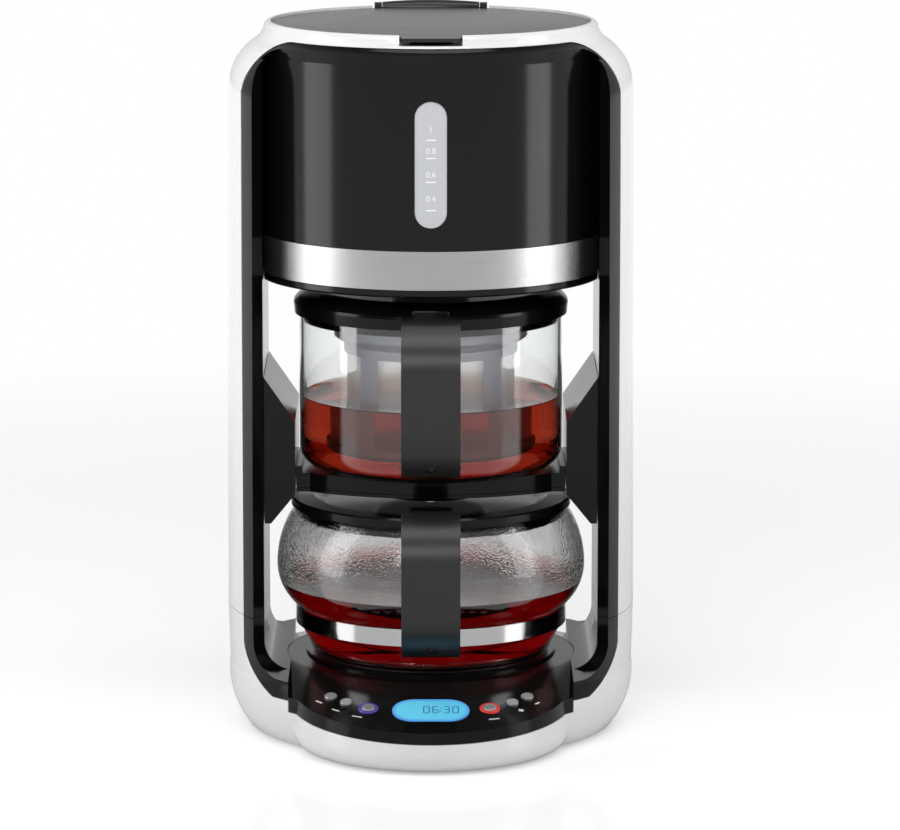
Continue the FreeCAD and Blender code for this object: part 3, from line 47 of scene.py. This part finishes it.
lens = bpy.data.cameras.new("studio_camera")
lens.sensor_width = 36
lens.lens = 197.16
lens.shift_x = 0.0213
lens.clip_end = 50
camera = bpy.data.objects.new("studio_camera", lens)
bpy.context.scene.collection.objects.link(camera)
camera.location = (0, AXIS_Y - CAMERA_AWAY, CAMERA_HEIGHT)
camera.rotation_euler = (math.radians(CAMERA_PITCH), 0, 0)
bpy.context.scene.camera = camera
bpy.context.scene.view_settings.view_transform = "Standard"


def clear_selection():
    if bpy.context.object and bpy.context.object.mode != "OBJECT":
        bpy.ops.object.mode_set(mode="OBJECT")
    bpy.ops.object.select_all(action="DESELECT")


def calculated(tree, operation, *numbers):
    step = tree.nodes.new("ShaderNodeMath")
    step.operation = operation
    for socket, number in enumerate(numbers, start=1):
        step.inputs[socket].default_value = number
    return step


def scaled(tree, start, end, low=0.0, high=1.0):
    step = tree.nodes.new("ShaderNodeMapRange")
    step.inputs["From Min"].default_value = start
    step.inputs["From Max"].default_value = end
    step.inputs["To Min"].default_value = low
    step.inputs["To Max"].default_value = high
    return step


clear_selection()
bpy.ops.mesh.primitive_circle_add(vertices=96, radius=FLOOR_RADIUS, fill_type="NGON",
                                  location=(0, 0, -FLOOR_DROP))
floor = bpy.context.object
floor.name = "studio_floor"
bpy.ops.object.transform_apply(location=True, rotation=False, scale=False)

floor_paint = bpy.data.materials.new("studio_floor")
floor_paint.use_nodes = True
tree = floor_paint.node_tree
tree.nodes.clear()
sheet = tree.nodes.new("ShaderNodeBsdfPrincipled")
sheet.inputs["Base Color"].default_value = (0.74, 0.74, 0.74, 1)
sheet.inputs["Roughness"].default_value = 0.16
sheet.inputs["Specular IOR Level"].default_value = 0.12
seen = tree.nodes.new("ShaderNodeLightPath")
lift = calculated(tree, "MULTIPLY", FLOOR_LIFT)
white = tree.nodes.new("ShaderNodeEmission")
both = tree.nodes.new("ShaderNodeAddShader")
place = tree.nodes.new("ShaderNodeTexCoord")
reach = tree.nodes.new("ShaderNodeVectorMath")
reach.operation = "LENGTH"
fade = scaled(tree, *FLOOR_FADE)
plain = tree.nodes.new("ShaderNodeEmission")
blend = tree.nodes.new("ShaderNodeMixShader")
paint = tree.nodes.new("ShaderNodeOutputMaterial")
tree.links.new(seen.outputs["Is Camera Ray"], lift.inputs[0])
tree.links.new(lift.outputs[0], white.inputs["Strength"])
tree.links.new(sheet.outputs[0], both.inputs[0])
tree.links.new(white.outputs[0], both.inputs[1])
tree.links.new(place.outputs["Object"], reach.inputs[0])
tree.links.new(reach.outputs["Value"], fade.inputs["Value"])
tree.links.new(fade.outputs[0], blend.inputs["Fac"])
tree.links.new(both.outputs[0], blend.inputs[1])
tree.links.new(plain.outputs[0], blend.inputs[2])
tree.links.new(blend.outputs[0], paint.inputs["Surface"])
floor.data.materials.append(floor_paint)

surround = bpy.data.worlds.new("studio_surround")
surround.use_nodes = True
bpy.context.scene.world = surround
tree = surround.node_tree
tree.nodes.clear()
aim = tree.nodes.new("ShaderNodeTexCoord")
parts = tree.nodes.new("ShaderNodeSeparateXYZ")
depth = scaled(tree, *SURROUND_DEPTH, *SURROUND_STRENGTH)
seen = tree.nodes.new("ShaderNodeLightPath")
clear = calculated(tree, "MAXIMUM")
level = calculated(tree, "MAXIMUM")
air = tree.nodes.new("ShaderNodeBackground")
out = tree.nodes.new("ShaderNodeOutputWorld")
tree.links.new(aim.outputs["Generated"], parts.inputs[0])
tree.links.new(parts.outputs["Y"], depth.inputs["Value"])
tree.links.new(seen.outputs["Is Camera Ray"], clear.inputs[0])
tree.links.new(seen.outputs["Is Transmission Ray"], clear.inputs[1])
tree.links.new(clear.outputs[0], level.inputs[0])
tree.links.new(depth.outputs[0], level.inputs[1])
tree.links.new(level.outputs[0], air.inputs["Strength"])
tree.links.new(air.outputs[0], out.inputs["Surface"])


def light_panel(name, place, aim_at, width, height, watts):
    data = bpy.data.lights.new(name, "AREA")
    data.shape = "RECTANGLE"
    data.size = width
    data.size_y = height
    data.energy = watts
    panel = bpy.data.objects.new(name, data)
    bpy.context.scene.collection.objects.link(panel)
    panel.location = place
    away = Vector(place) - Vector(aim_at)
    panel.rotation_euler = away.to_track_quat("Z", "Y").to_euler()


light_panel("panel_left", (-1.2, -0.25, 0.45), (0, 0, 0.25), 0.5, 1.2, 7.5)
light_panel("panel_right", (1.2, -0.35, 0.45), (0, 0, 0.25), 0.42, 1.2, 7)
light_panel("panel_above", (0, -0.5, 1.5), (0, 0, 0.2), 1.1, 0.8, 9)
light_panel("panel_front", (-0.5, -2.6, 1.3), (0, 0, 0.2), 1.5, 0.8, 25)


# The white shells: two glossy ABS mouldings, the tower with its rounded
# shoulder and the base with the bump for the controls, snapped on one another.
def shader_of(material):
    return material.node_tree.nodes["Principled BSDF"]


def two_tones(tree, first, second):
    tones = tree.nodes.new("ShaderNodeMix")
    tones.data_type = "RGBA"
    tones.inputs["A"].default_value = (*first, 1)
    tones.inputs["B"].default_value = (*second, 1)
    return tones


def finish(name, colour, rough, grain, bump, sway, metallic=0.0, coat=0.0):
    material = bpy.data.materials.new(name)
    material.use_nodes = True
    tree = material.node_tree
    shader = shader_of(material)
    shader.inputs["Metallic"].default_value = metallic
    shader.inputs["Coat Weight"].default_value = coat
    shader.inputs["Coat Roughness"].default_value = 0.05
    where = tree.nodes.new("ShaderNodeTexCoord")
    cloud = tree.nodes.new("ShaderNodeTexNoise")
    cloud.inputs["Scale"].default_value = 14
    cloud.inputs["Detail"].default_value = 3
    tint = two_tones(tree, [c * (1 - sway) for c in colour],
                     [min(1, c * (1 + sway)) for c in colour])
    shine = scaled(tree, 0, 1, rough * 0.8, rough * 1.2)
    speck = tree.nodes.new("ShaderNodeTexNoise")
    speck.name = "grain"
    speck.inputs["Scale"].default_value = grain
    speck.inputs["Detail"].default_value = 2
    relief = tree.nodes.new("ShaderNodeBump")
    relief.inputs["Strength"].default_value = 0.6
    relief.inputs["Distance"].default_value = bump
    tree.links.new(where.outputs["Object"], cloud.inputs["Vector"])
    tree.links.new(where.outputs["Object"], speck.inputs["Vector"])
    tree.links.new(cloud.outputs["Fac"], tint.inputs["Factor"])
    tree.links.new(cloud.outputs["Fac"], shine.inputs["Value"])
    tree.links.new(speck.outputs["Fac"], relief.inputs["Height"])
    tree.links.new(tint.outputs["Result"], shader.inputs["Base Color"])
    tree.links.new(shine.outputs[0], shader.inputs["Roughness"])
    tree.links.new(relief.outputs[0], shader.inputs["Normal"])
    return material


def dress(material, *nodes):
    for node in nodes:
        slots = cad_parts[node].data.materials
        if len(slots) == 0:
            slots.append(material)
        for i in range(len(slots)):
            slots[i] = material


white_gloss = finish("white_gloss", (0.78, 0.785, 0.795), 0.12, 60, 0.00004, 0.01, coat=0.3)
dress(white_gloss, "body_shell", "base_shell")


# The gloss black mouldings: frames of the arch, column walls, deck, plate rings,
# tank housing, shelf, wings and the lids of both vessels, moulded and polished.
black_gloss = finish("black_gloss", (0.004, 0.0038, 0.0038), 0.15, 40, 0.00002, 0.2)
shader_of(black_gloss).inputs["Specular IOR Level"].default_value = 0.22
dress(black_gloss, "front_frame", "rear_frame", "column_wall_left", "column_wall_right",
      "control_deck", "plate_surround", "plate_rim", "tank_housing", "carrier_shelf",
      "shelf_cover", "shelf_wing_left", "shelf_wing_right", "brew_lid", "jug_lid")


# The dark parts with a fine grain: handles, bottom plate, cord gland and spray
# head, moulded in polypropylene against an eroded tool. The feet are rubber.
black_satin = finish("black_satin", (0.012, 0.0118, 0.0115), 0.36, 900, 0.00012, 0.15)
dress(black_satin, "bottom_plate", "cord_gland", "spray_head", "brew_handle", "jug_handle")
foot_rubber = finish("foot_rubber", (0.02, 0.02, 0.02), 0.75, 500, 0.0002, 0.2)
dress(foot_rubber, "foot_front_left", "foot_front_right", "foot_rear_left", "foot_rear_right")


# The tank lid: one dark grey gloss moulding with a finger tab at the front. The
# ears that hold its hinge pin on the shell have the same colour.
lid_grey = finish("lid_grey", (0.02, 0.02, 0.02), 0.24, 70, 0.00004, 0.1)
shader_of(lid_grey).inputs["Specular IOR Level"].default_value = 0.3
dress(lid_grey, "tank_lid", "hinge_ears")


# The hot plate and what works under it: a non-stick coated disc, the cast heater
# with thermostat and fuse, and in the shelf the magnet and lifter of the valve.
plate_coat = finish("plate_coat", (0.022, 0.022, 0.023), 0.42, 1500, 0.0001, 0.2)
dress(plate_coat, "hot_plate")
cast_metal = finish("cast_metal", (0.6, 0.6, 0.61), 0.38, 500, 0.0001, 0.08, metallic=1)
dress(cast_metal, "water_heater", "thermostat", "thermal_fuse", "valve_magnet", "valve_lifter")


# The screws and the hinge pin: turned steel, left bright in the base and at the
# lid, and blackened where they hold the handles.
screw_steel = finish("screw_steel", (0.5, 0.5, 0.51), 0.25, 800, 0.00003, 0.06, metallic=1)
dress(screw_steel, "base_screws", "lid_hinge_pin")
screw_black = finish("screw_black", (0.03, 0.03, 0.032), 0.35, 800, 0.00003, 0.1, metallic=1)
dress(screw_black, "brew_handle_screw", "jug_handle_screw")


# The parts inside: a green circuit board, silicone tubes with the seat and
# plunger of the drain valve, and the pale tank in its housing.
board_green = finish("board_green", (0.02, 0.12, 0.05), 0.4, 400, 0.0001, 0.3)
dress(board_green, "circuit_board")
tube_silicone = finish("tube_silicone", (0.62, 0.62, 0.6), 0.45, 200, 0.0001, 0.05)
dress(tube_silicone, "riser_tube", "feed_tube", "valve_seat", "outlet_valve")
tank_plastic = finish("tank_plastic", (0.62, 0.65, 0.67), 0.35, 120, 0.0001, 0.05)
dress(tank_plastic, "water_tank")


# The steel band: a strip of brushed stainless steel bonded in the seam of the
# tank housing. The brushing runs round the tank, so its lines lie level.
BRUSH_LINES = (14, 14, 2600)

band_steel = finish("band_steel", (0.44, 0.435, 0.43), 0.28, 1, 0.00006, 0.05, metallic=1)
tree = band_steel.node_tree
comb = tree.nodes.new("ShaderNodeMapping")
comb.inputs["Scale"].default_value = BRUSH_LINES
around = tree.nodes.new("ShaderNodeTangent")
around.direction_type = "RADIAL"
around.axis = "Z"
tree.links.new(tree.nodes["Texture Coordinate"].outputs["Object"], comb.inputs["Vector"])
tree.links.new(comb.outputs[0], tree.nodes["grain"].inputs["Vector"])
shader_of(band_steel).inputs["Anisotropic"].default_value = 0.7
tree.links.new(around.outputs[0], shader_of(band_steel).inputs["Tangent"])
dress(band_steel, "steel_band")


# The clamp band: a polished steel strip drawn tight round the waist of the jug,
# which carries its handle.
clamp_steel = finish("clamp_steel", (0.66, 0.66, 0.665), 0.12, 300, 0.00002, 0.03, metallic=1)
dress(clamp_steel, "jug_band")


# The vessels: clear heat-proof glass, blown in a mould. Steam has left fine
# drops on the upper wall of the jug, so its bare glass clears towards the tea.
GLASS_TINT = (0.97, 0.985, 0.98)
DROP_TINT = (0.62, 0.63, 0.63)
GLASS_ROUGH = 0.015
MIST_STARTS = (0.084, 0.092)


def clear_glass(name, tint, rough):
    glass = bpy.data.materials.new(name)
    glass.use_nodes = True
    tree = glass.node_tree
    shader = shader_of(glass)
    shader.inputs["Base Color"].default_value = (*tint, 1)
    shader.inputs["Transmission Weight"].default_value = 1
    shader.inputs["IOR"].default_value = 1.47
    where = tree.nodes.new("ShaderNodeTexCoord")
    cloud = tree.nodes.new("ShaderNodeTexNoise")
    cloud.inputs["Scale"].default_value = 30
    haze = scaled(tree, 0, 1, rough * 0.5, rough)
    tree.links.new(where.outputs["Object"], cloud.inputs["Vector"])
    tree.links.new(cloud.outputs["Fac"], haze.inputs["Value"])
    tree.links.new(haze.outputs[0], shader.inputs["Roughness"])
    return glass


vessel_glass = clear_glass("vessel_glass", GLASS_TINT, GLASS_ROUGH)
dress(vessel_glass, "brew_glass")

misted_glass = clear_glass("misted_glass", GLASS_TINT, GLASS_ROUGH)
tree = misted_glass.node_tree
shader = shader_of(misted_glass)
where = tree.nodes["Texture Coordinate"]
height = tree.nodes.new("ShaderNodeSeparateXYZ")
above = scaled(tree, *MIST_STARTS)
drops = tree.nodes.new("ShaderNodeTexVoronoi")
drops.inputs["Scale"].default_value = 760
bead = scaled(tree, 0, 0.55, 1, 0)
patch = tree.nodes.new("ShaderNodeTexNoise")
patch.inputs["Scale"].default_value = 22
patch.inputs["Detail"].default_value = 4
thick = scaled(tree, 0.3, 0.62)
wet = calculated(tree, "MULTIPLY")
wetter = calculated(tree, "MULTIPLY")
beads = tree.nodes.new("ShaderNodeBump")
beads.inputs["Strength"].default_value = 0.5
beads.inputs["Distance"].default_value = 0.0003
dim = calculated(tree, "MULTIPLY_ADD", 0.03, 0.008)
gaps = calculated(tree, "SUBTRACT")
gaps.use_clamp = True
speckle = two_tones(tree, GLASS_TINT, DROP_TINT)
tree.links.new(where.outputs["Object"], height.inputs[0])
tree.links.new(where.outputs["Object"], drops.inputs["Vector"])
tree.links.new(where.outputs["Object"], patch.inputs["Vector"])
tree.links.new(height.outputs["Z"], above.inputs["Value"])
tree.links.new(drops.outputs["Distance"], bead.inputs["Value"])
tree.links.new(patch.outputs["Fac"], thick.inputs["Value"])
tree.links.new(above.outputs[0], wet.inputs[0])
tree.links.new(thick.outputs[0], wet.inputs[1])
tree.links.new(wet.outputs[0], wetter.inputs[0])
tree.links.new(bead.outputs[0], wetter.inputs[1])
tree.links.new(wetter.outputs[0], beads.inputs["Height"])
tree.links.new(beads.outputs[0], shader.inputs["Normal"])
tree.links.new(wet.outputs[0], dim.inputs[0])
tree.links.new(dim.outputs[0], shader.inputs["Roughness"])
tree.links.new(wet.outputs[0], gaps.inputs[0])
tree.links.new(wetter.outputs[0], gaps.inputs[1])
tree.links.new(gaps.outputs[0], speckle.inputs["Factor"])
tree.links.new(speckle.outputs["Result"], shader.inputs["Base Color"])
dress(misted_glass, "jug_glass")


# The strainer: a cage of translucent grey plastic that hangs from the brew
# vessel's lid, with fine nylon mesh welded into its four windows.
cage_grey = clear_glass("cage_grey", (0.7, 0.7, 0.78), 0.6)
shader_of(cage_grey).inputs["Transmission Weight"].default_value = 0.75
shader_of(cage_grey).inputs["IOR"].default_value = 1.3
dress(cage_grey, "strainer_frame")
mesh_grey = clear_glass("mesh_grey", (0.9, 0.9, 0.9), 0.14)
shader_of(mesh_grey).inputs["IOR"].default_value = 1.08
shader_of(mesh_grey).inputs["Transmission Weight"].default_value = 0.92
tree = mesh_grey.node_tree
weave = tree.nodes.new("ShaderNodeTexVoronoi")
weave.inputs["Scale"].default_value = 1500
threads = tree.nodes.new("ShaderNodeBump")
threads.inputs["Distance"].default_value = 0.0002
tree.links.new(tree.nodes["Texture Coordinate"].outputs["Object"], weave.inputs["Vector"])
tree.links.new(weave.outputs["Distance"], threads.inputs["Height"])
tree.links.new(threads.outputs[0], shader_of(mesh_grey).inputs["Normal"])
dress(mesh_grey, "strainer_mesh")


# The level window: a frosted strip let into the tank housing, through which
# the water in the tank is seen.
window_frost = clear_glass("window_frost", (0.6, 0.61, 0.64), 0.6)
shader_of(window_frost).inputs["Transmission Weight"].default_value = 0.1
dress(window_frost, "level_window")


# The display: a blue backlight under a clear lens, a little paler on the left,
# with a deep blue rim that follows the lens and its two round ends.
DISPLAY_ACROSS = 0.02
DISPLAY_STRAIGHT = 0.00875
DISPLAY_Y = -0.1143
SLOPE_COSINE = 0.9655
DISPLAY_RIM = (0.0098, 0.0118)
DISPLAY_BLUE = (0.09, 0.42, 0.6)


def lit(name, colour, power):
    glow = finish(name, colour, 0.15, 100, 0.00002, 0.05)
    shader_of(glow).inputs["Emission Color"].default_value = (*colour, 1)
    shader_of(glow).inputs["Emission Strength"].default_value = power
    return glow


display_glow = lit("display_glow", DISPLAY_BLUE, 0.5)
tree = display_glow.node_tree
parts = tree.nodes.new("ShaderNodeSeparateXYZ")
ramp = scaled(tree, -DISPLAY_ACROSS, DISPLAY_ACROSS)
tone = two_tones(tree, (0.12, 0.5, 0.66), DISPLAY_BLUE)
either_side = calculated(tree, "ABSOLUTE")
past_straight = calculated(tree, "SUBTRACT", DISPLAY_STRAIGHT)
round_end = calculated(tree, "MAXIMUM", 0)
from_middle = calculated(tree, "SUBTRACT", AXIS_Y + DISPLAY_Y)
up_slope = calculated(tree, "DIVIDE", SLOPE_COSINE)
spot = tree.nodes.new("ShaderNodeCombineXYZ")
span = tree.nodes.new("ShaderNodeVectorMath")
span.operation = "LENGTH"
rim = scaled(tree, *DISPLAY_RIM)
halo = two_tones(tree, DISPLAY_BLUE, (0.03, 0.04, 0.6))
tree.links.new(tree.nodes["Texture Coordinate"].outputs["Object"], parts.inputs[0])
tree.links.new(parts.outputs["X"], ramp.inputs["Value"])
tree.links.new(ramp.outputs[0], tone.inputs["Factor"])
tree.links.new(parts.outputs["X"], either_side.inputs[0])
tree.links.new(either_side.outputs[0], past_straight.inputs[0])
tree.links.new(past_straight.outputs[0], round_end.inputs[0])
tree.links.new(parts.outputs["Y"], from_middle.inputs[0])
tree.links.new(from_middle.outputs[0], up_slope.inputs[0])
tree.links.new(round_end.outputs[0], spot.inputs["X"])
tree.links.new(up_slope.outputs[0], spot.inputs["Y"])
tree.links.new(spot.outputs[0], span.inputs[0])
tree.links.new(span.outputs["Value"], rim.inputs["Value"])
tree.links.new(rim.outputs[0], halo.inputs["Factor"])
tree.links.new(tone.outputs["Result"], halo.inputs["A"])
tree.links.new(halo.outputs["Result"], shader_of(display_glow).inputs["Emission Color"])
dress(display_glow, "display_lens", "display_module")


# The ring lenses round the program and start buttons: clear mouldings that are
# lit from behind, violet on the left and red on the right.
ring_violet = lit("ring_violet", (0.07, 0.05, 0.26), 0.3)
dress(ring_violet, "program_ring")
ring_red = lit("ring_red", (0.5, 0.04, 0.03), 0.4)
dress(ring_red, "start_ring")


# The six buttons: round moulded caps with a silver-grey lacquer, three on each
# side of the display.
button_silver = finish("button_silver", (0.42, 0.41, 0.42), 0.3, 700, 0.00004, 0.08, metallic=0.6)
dress(button_silver, "menu_button", "clock_button", "program_button", "start_button",
      "plus_button", "minus_button")


# The brewed tea in the upper glass: it stands round the strainer and creeps a
# little way up the glass at its edge. Red-brown, and darker where it is deep.
MM = 0.001
WELD = 0.01 * MM


def turned_up(name, rings):
    clear_selection()
    bpy.ops.mesh.primitive_circle_add(vertices=128, radius=rings[0][0] * MM, fill_type="NGON",
                                      location=(0, AXIS_Y, rings[0][1] * MM))
    piece = bpy.context.object
    piece.name = name
    bpy.ops.object.transform_apply(location=True, rotation=False, scale=False)
    bpy.ops.object.mode_set(mode="EDIT")
    bpy.ops.mesh.select_all(action="SELECT")
    for before, after in zip(rings, rings[1:]):
        rise = (after[1] - before[1]) * MM
        bpy.ops.mesh.extrude_region_move(TRANSFORM_OT_translate={"value": (0, 0, rise)})
        grow = after[0] / before[0]
        bpy.ops.transform.resize(value=(grow, grow, 1), center_override=(0, AXIS_Y, after[1] * MM))
    bpy.ops.mesh.select_all(action="SELECT")
    bpy.ops.mesh.remove_doubles(threshold=WELD)
    bpy.ops.mesh.normals_make_consistent(inside=False)
    bpy.ops.object.mode_set(mode="OBJECT")
    bpy.ops.object.shade_smooth_by_angle(angle=math.radians(35))
    return piece


def tea(name, surface, deep, density):
    liquid = clear_glass(name, surface, 0.01)
    tree = liquid.node_tree
    shader_of(liquid).inputs["IOR"].default_value = 1.2
    soak = tree.nodes.new("ShaderNodeVolumeAbsorption")
    soak.inputs["Color"].default_value = (*deep, 1)
    soak.inputs["Density"].default_value = density
    tree.links.new(soak.outputs[0], tree.nodes["Material Output"].inputs["Volume"])
    return liquid


amber_tea = tea("amber_tea", (1.0, 0.9, 0.84), (0.85, 0.48, 0.36), 62)
brew_tea = turned_up("brew_tea", [
    (14, 150.7), (62, 150.7), (66.5, 151.5), (70, 154), (71.7, 157.5), (72.1, 161),
    (72.1, 189.6), (71.3, 188.8), (69.8, 188.4), (52, 188.4)])
brew_tea.data.materials.append(amber_tea)
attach(brew_tea, "brew_vessel")


# The finished tea in the jug: deep red, up to the lower half of the belly, so
# the narrow waist behind the steel clamp band is full of it.
red_tea = tea("red_tea", (1.0, 0.72, 0.7), (0.8, 0.1, 0.13), 66)
jug_tea = turned_up("jug_tea", [
    (50, 43.8), (63, 43.8), (65.8, 45), (66.7, 47), (69, 50.6), (71.2, 54.2), (73.4, 57.8),
    (73.5, 68.3), (77.8, 72), (80.6, 75.5), (82.6, 79), (83.9, 82.8), (83.1, 82.2), (81.5, 82)])
jug_tea.data.materials.append(red_tea)
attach(jug_tea, "serving_jug")


# The level scale: short white lines with the litres above them, printed on the
# face of the window, with the bottom line at the least that the tank needs.
UPRIGHT = math.radians(90)
WINDOW_FACE = -97.24
LINE_HEIGHTS = (344.5, 334.6, 321.5, 306.0)
LITRES = (("1", 350.2), ("0.8", 338.4), ("0.6", 325.6), ("0.4", 312.2))
LETTER_SIZE = 4.6
INK = 0.04


def printed(name, colour):
    return finish(name, colour, 0.4, 900, 0.00001, 0.05)


def letters(name, text, size, across, front, up):
    clear_selection()
    bpy.ops.object.text_add(location=(0, 0, 0))
    words = bpy.context.object
    words.data.body = text
    words.data.size = size * MM
    words.data.align_x = "CENTER"
    words.data.align_y = "CENTER"
    words.data.extrude = INK * MM
    bpy.ops.object.convert(target="MESH")
    words.name = name
    words.rotation_euler = (UPRIGHT, 0, 0)
    words.location = (across * MM, AXIS_Y + front * MM, up * MM)
    bpy.ops.object.transform_apply(location=True, rotation=True, scale=False)
    return words


def bar(name, size, across, front, up, tilt, turn=0.0):
    clear_selection()
    bpy.ops.mesh.primitive_cube_add(size=1, location=(0, 0, 0))
    strip = bpy.context.object
    strip.name = name
    strip.scale = [side * MM for side in size]
    bpy.ops.object.transform_apply(location=False, rotation=False, scale=True)
    strip.rotation_euler = (0, 0, math.radians(turn))
    bpy.ops.object.transform_apply(location=False, rotation=True, scale=False)
    strip.rotation_euler = (tilt, 0, 0)
    strip.location = (across * MM, AXIS_Y + front * MM, up * MM)
    bpy.ops.object.transform_apply(location=True, rotation=True, scale=False)
    return strip


def joined(name, pieces):
    clear_selection()
    for piece in pieces:
        piece.select_set(True)
    bpy.context.view_layer.objects.active = pieces[0]
    bpy.ops.object.join()
    whole = bpy.context.object
    whole.name = name
    return whole


scale_white = printed("scale_white", (0.95, 0.95, 0.95))
marks = []
for index, up in enumerate(LINE_HEIGHTS):
    marks.append(bar(f"line_{index}", (5.4, 0.7, 0.12), 0, WINDOW_FACE, up, UPRIGHT))
for index, (litres, up) in enumerate(LITRES):
    marks.append(letters(f"litres_{index}", litres, LETTER_SIZE, 0, WINDOW_FACE - INK, up))
level_scale = joined("level_scale", marks)
level_scale.data.materials.clear()
level_scale.data.materials.append(scale_white)
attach(level_scale, "housing")


# The marks on the sloping panel: a plus, a minus and plain dashes beside the
# buttons, printed white. Each lies flat on the deck, wherever the deck slopes.
FLAT_THICKNESS = 0.1
ABOVE_PANEL = 100
PRINT_LIFT = 0.03
PANEL_MARKS = (
    ("plus_level", 3.4, 0.8, 49.8, -108.2, 45), ("plus_upright", 0.8, 3.4, 49.8, -108.2, 45),
    ("minus_level", 3.6, 0.8, 58.9, -97.5, 50), ("menu_dash", 5.4, 0.7, -62.0, -94.9, -49),
    ("clock_dash", 5.4, 0.7, -52.5, -107.5, -42), ("program_dash", 6.0, 0.7, -40.6, -117.4, -27),
    ("start_dash", 6.0, 0.7, 34.8, -121.0, 18))


def flat_bar(name, width, height, turn=0.0):
    return bar(name, (width, height, FLAT_THICKNESS), 0, -AXIS_Y / MM, 0, 0.0, turn)


def laid_on(piece, node, across, back):
    start = Vector((across * MM, AXIS_Y + back * MM, ABOVE_PANEL * MM))
    _, spot, normal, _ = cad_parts[node].ray_cast(start, Vector((0, 0, -1)))
    piece.rotation_euler = Vector((0, 0, 1)).rotation_difference(normal).to_euler()
    piece.location = spot + normal * PRINT_LIFT * MM
    clear_selection()
    piece.select_set(True)
    bpy.context.view_layer.objects.active = piece
    bpy.ops.object.transform_apply(location=True, rotation=True, scale=False)
    return piece


marks = []
for name, width, height, across, back, turn in PANEL_MARKS:
    marks.append(laid_on(flat_bar(name, width, height, turn), "control_deck", across, back))
panel_marks = joined("panel_marks", marks)
panel_marks.data.materials.append(scale_white)
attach(panel_marks, "housing")


# The catch on the brew vessel's lid: a small moulded lip over the handle, by
# which the lid is turned and lifted. Its edges are rounded.
CATCH_SIZE = (20.6, 8, 5.6)
CATCH_FRONT = 78
CATCH_HEIGHT = 246.2

clear_selection()
bpy.ops.mesh.primitive_cube_add(size=1, location=(0, 0, 0))
lid_catch = bpy.context.object
lid_catch.name = "lid_catch"
lid_catch.scale = [side * MM for side in CATCH_SIZE]
bpy.ops.object.transform_apply(location=False, rotation=False, scale=True)
lid_catch.location = (0, AXIS_Y - CATCH_FRONT * MM, CATCH_HEIGHT * MM)
bpy.ops.object.transform_apply(location=True, rotation=False, scale=False)
rounding = lid_catch.modifiers.new("rounding", "BEVEL")
rounding.width = 1.4 * MM
rounding.segments = 4
bpy.ops.object.modifier_apply(modifier="rounding")
bpy.ops.object.shade_smooth_by_angle(angle=math.radians(30))
lid_catch.data.materials.append(black_gloss)
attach(lid_catch, "brew_vessel")


# The display's digits: four seven-bar figures and a colon, dark liquid crystal on
# the blue backlight, at the right of the lens. They show a plain hour.
DIGITS_Y = -114.0
COLON_X = 5.6
DIGITS = (("0", -2.4), ("6", 2.6), ("3", 8.6), ("0", 13.6))
BARS = {"0": "abcdef", "6": "acdefg", "3": "abcdg"}
SPOTS = {"a": (2.4, 0.6, 0, 3.6), "g": (2.4, 0.6, 0, 0), "d": (2.4, 0.6, 0, -3.6),
         "f": (0.6, 3.0, -1.5, 1.8), "b": (0.6, 3.0, 1.5, 1.8),
         "e": (0.6, 3.0, -1.5, -1.8), "c": (0.6, 3.0, 1.5, -1.8)}

digit_ink = printed("digit_ink", (0.02, 0.06, 0.32))
segments = []
for index, (figure, middle) in enumerate(DIGITS):
    for key in BARS[figure]:
        width, height, right, up = SPOTS[key]
        segments.append(laid_on(flat_bar(f"bar_{index}_{key}", width, height), "display_lens",
                                middle + right, DIGITS_Y + up))
for index, up in enumerate((1.6, -1.6)):
    segments.append(laid_on(flat_bar(f"colon_{index}", 0.7, 0.8), "display_lens",
                            COLON_X, DIGITS_Y + up))
display_digits = joined("display_digits", segments)
display_digits.data.materials.append(digit_ink)
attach(display_digits, "housing")
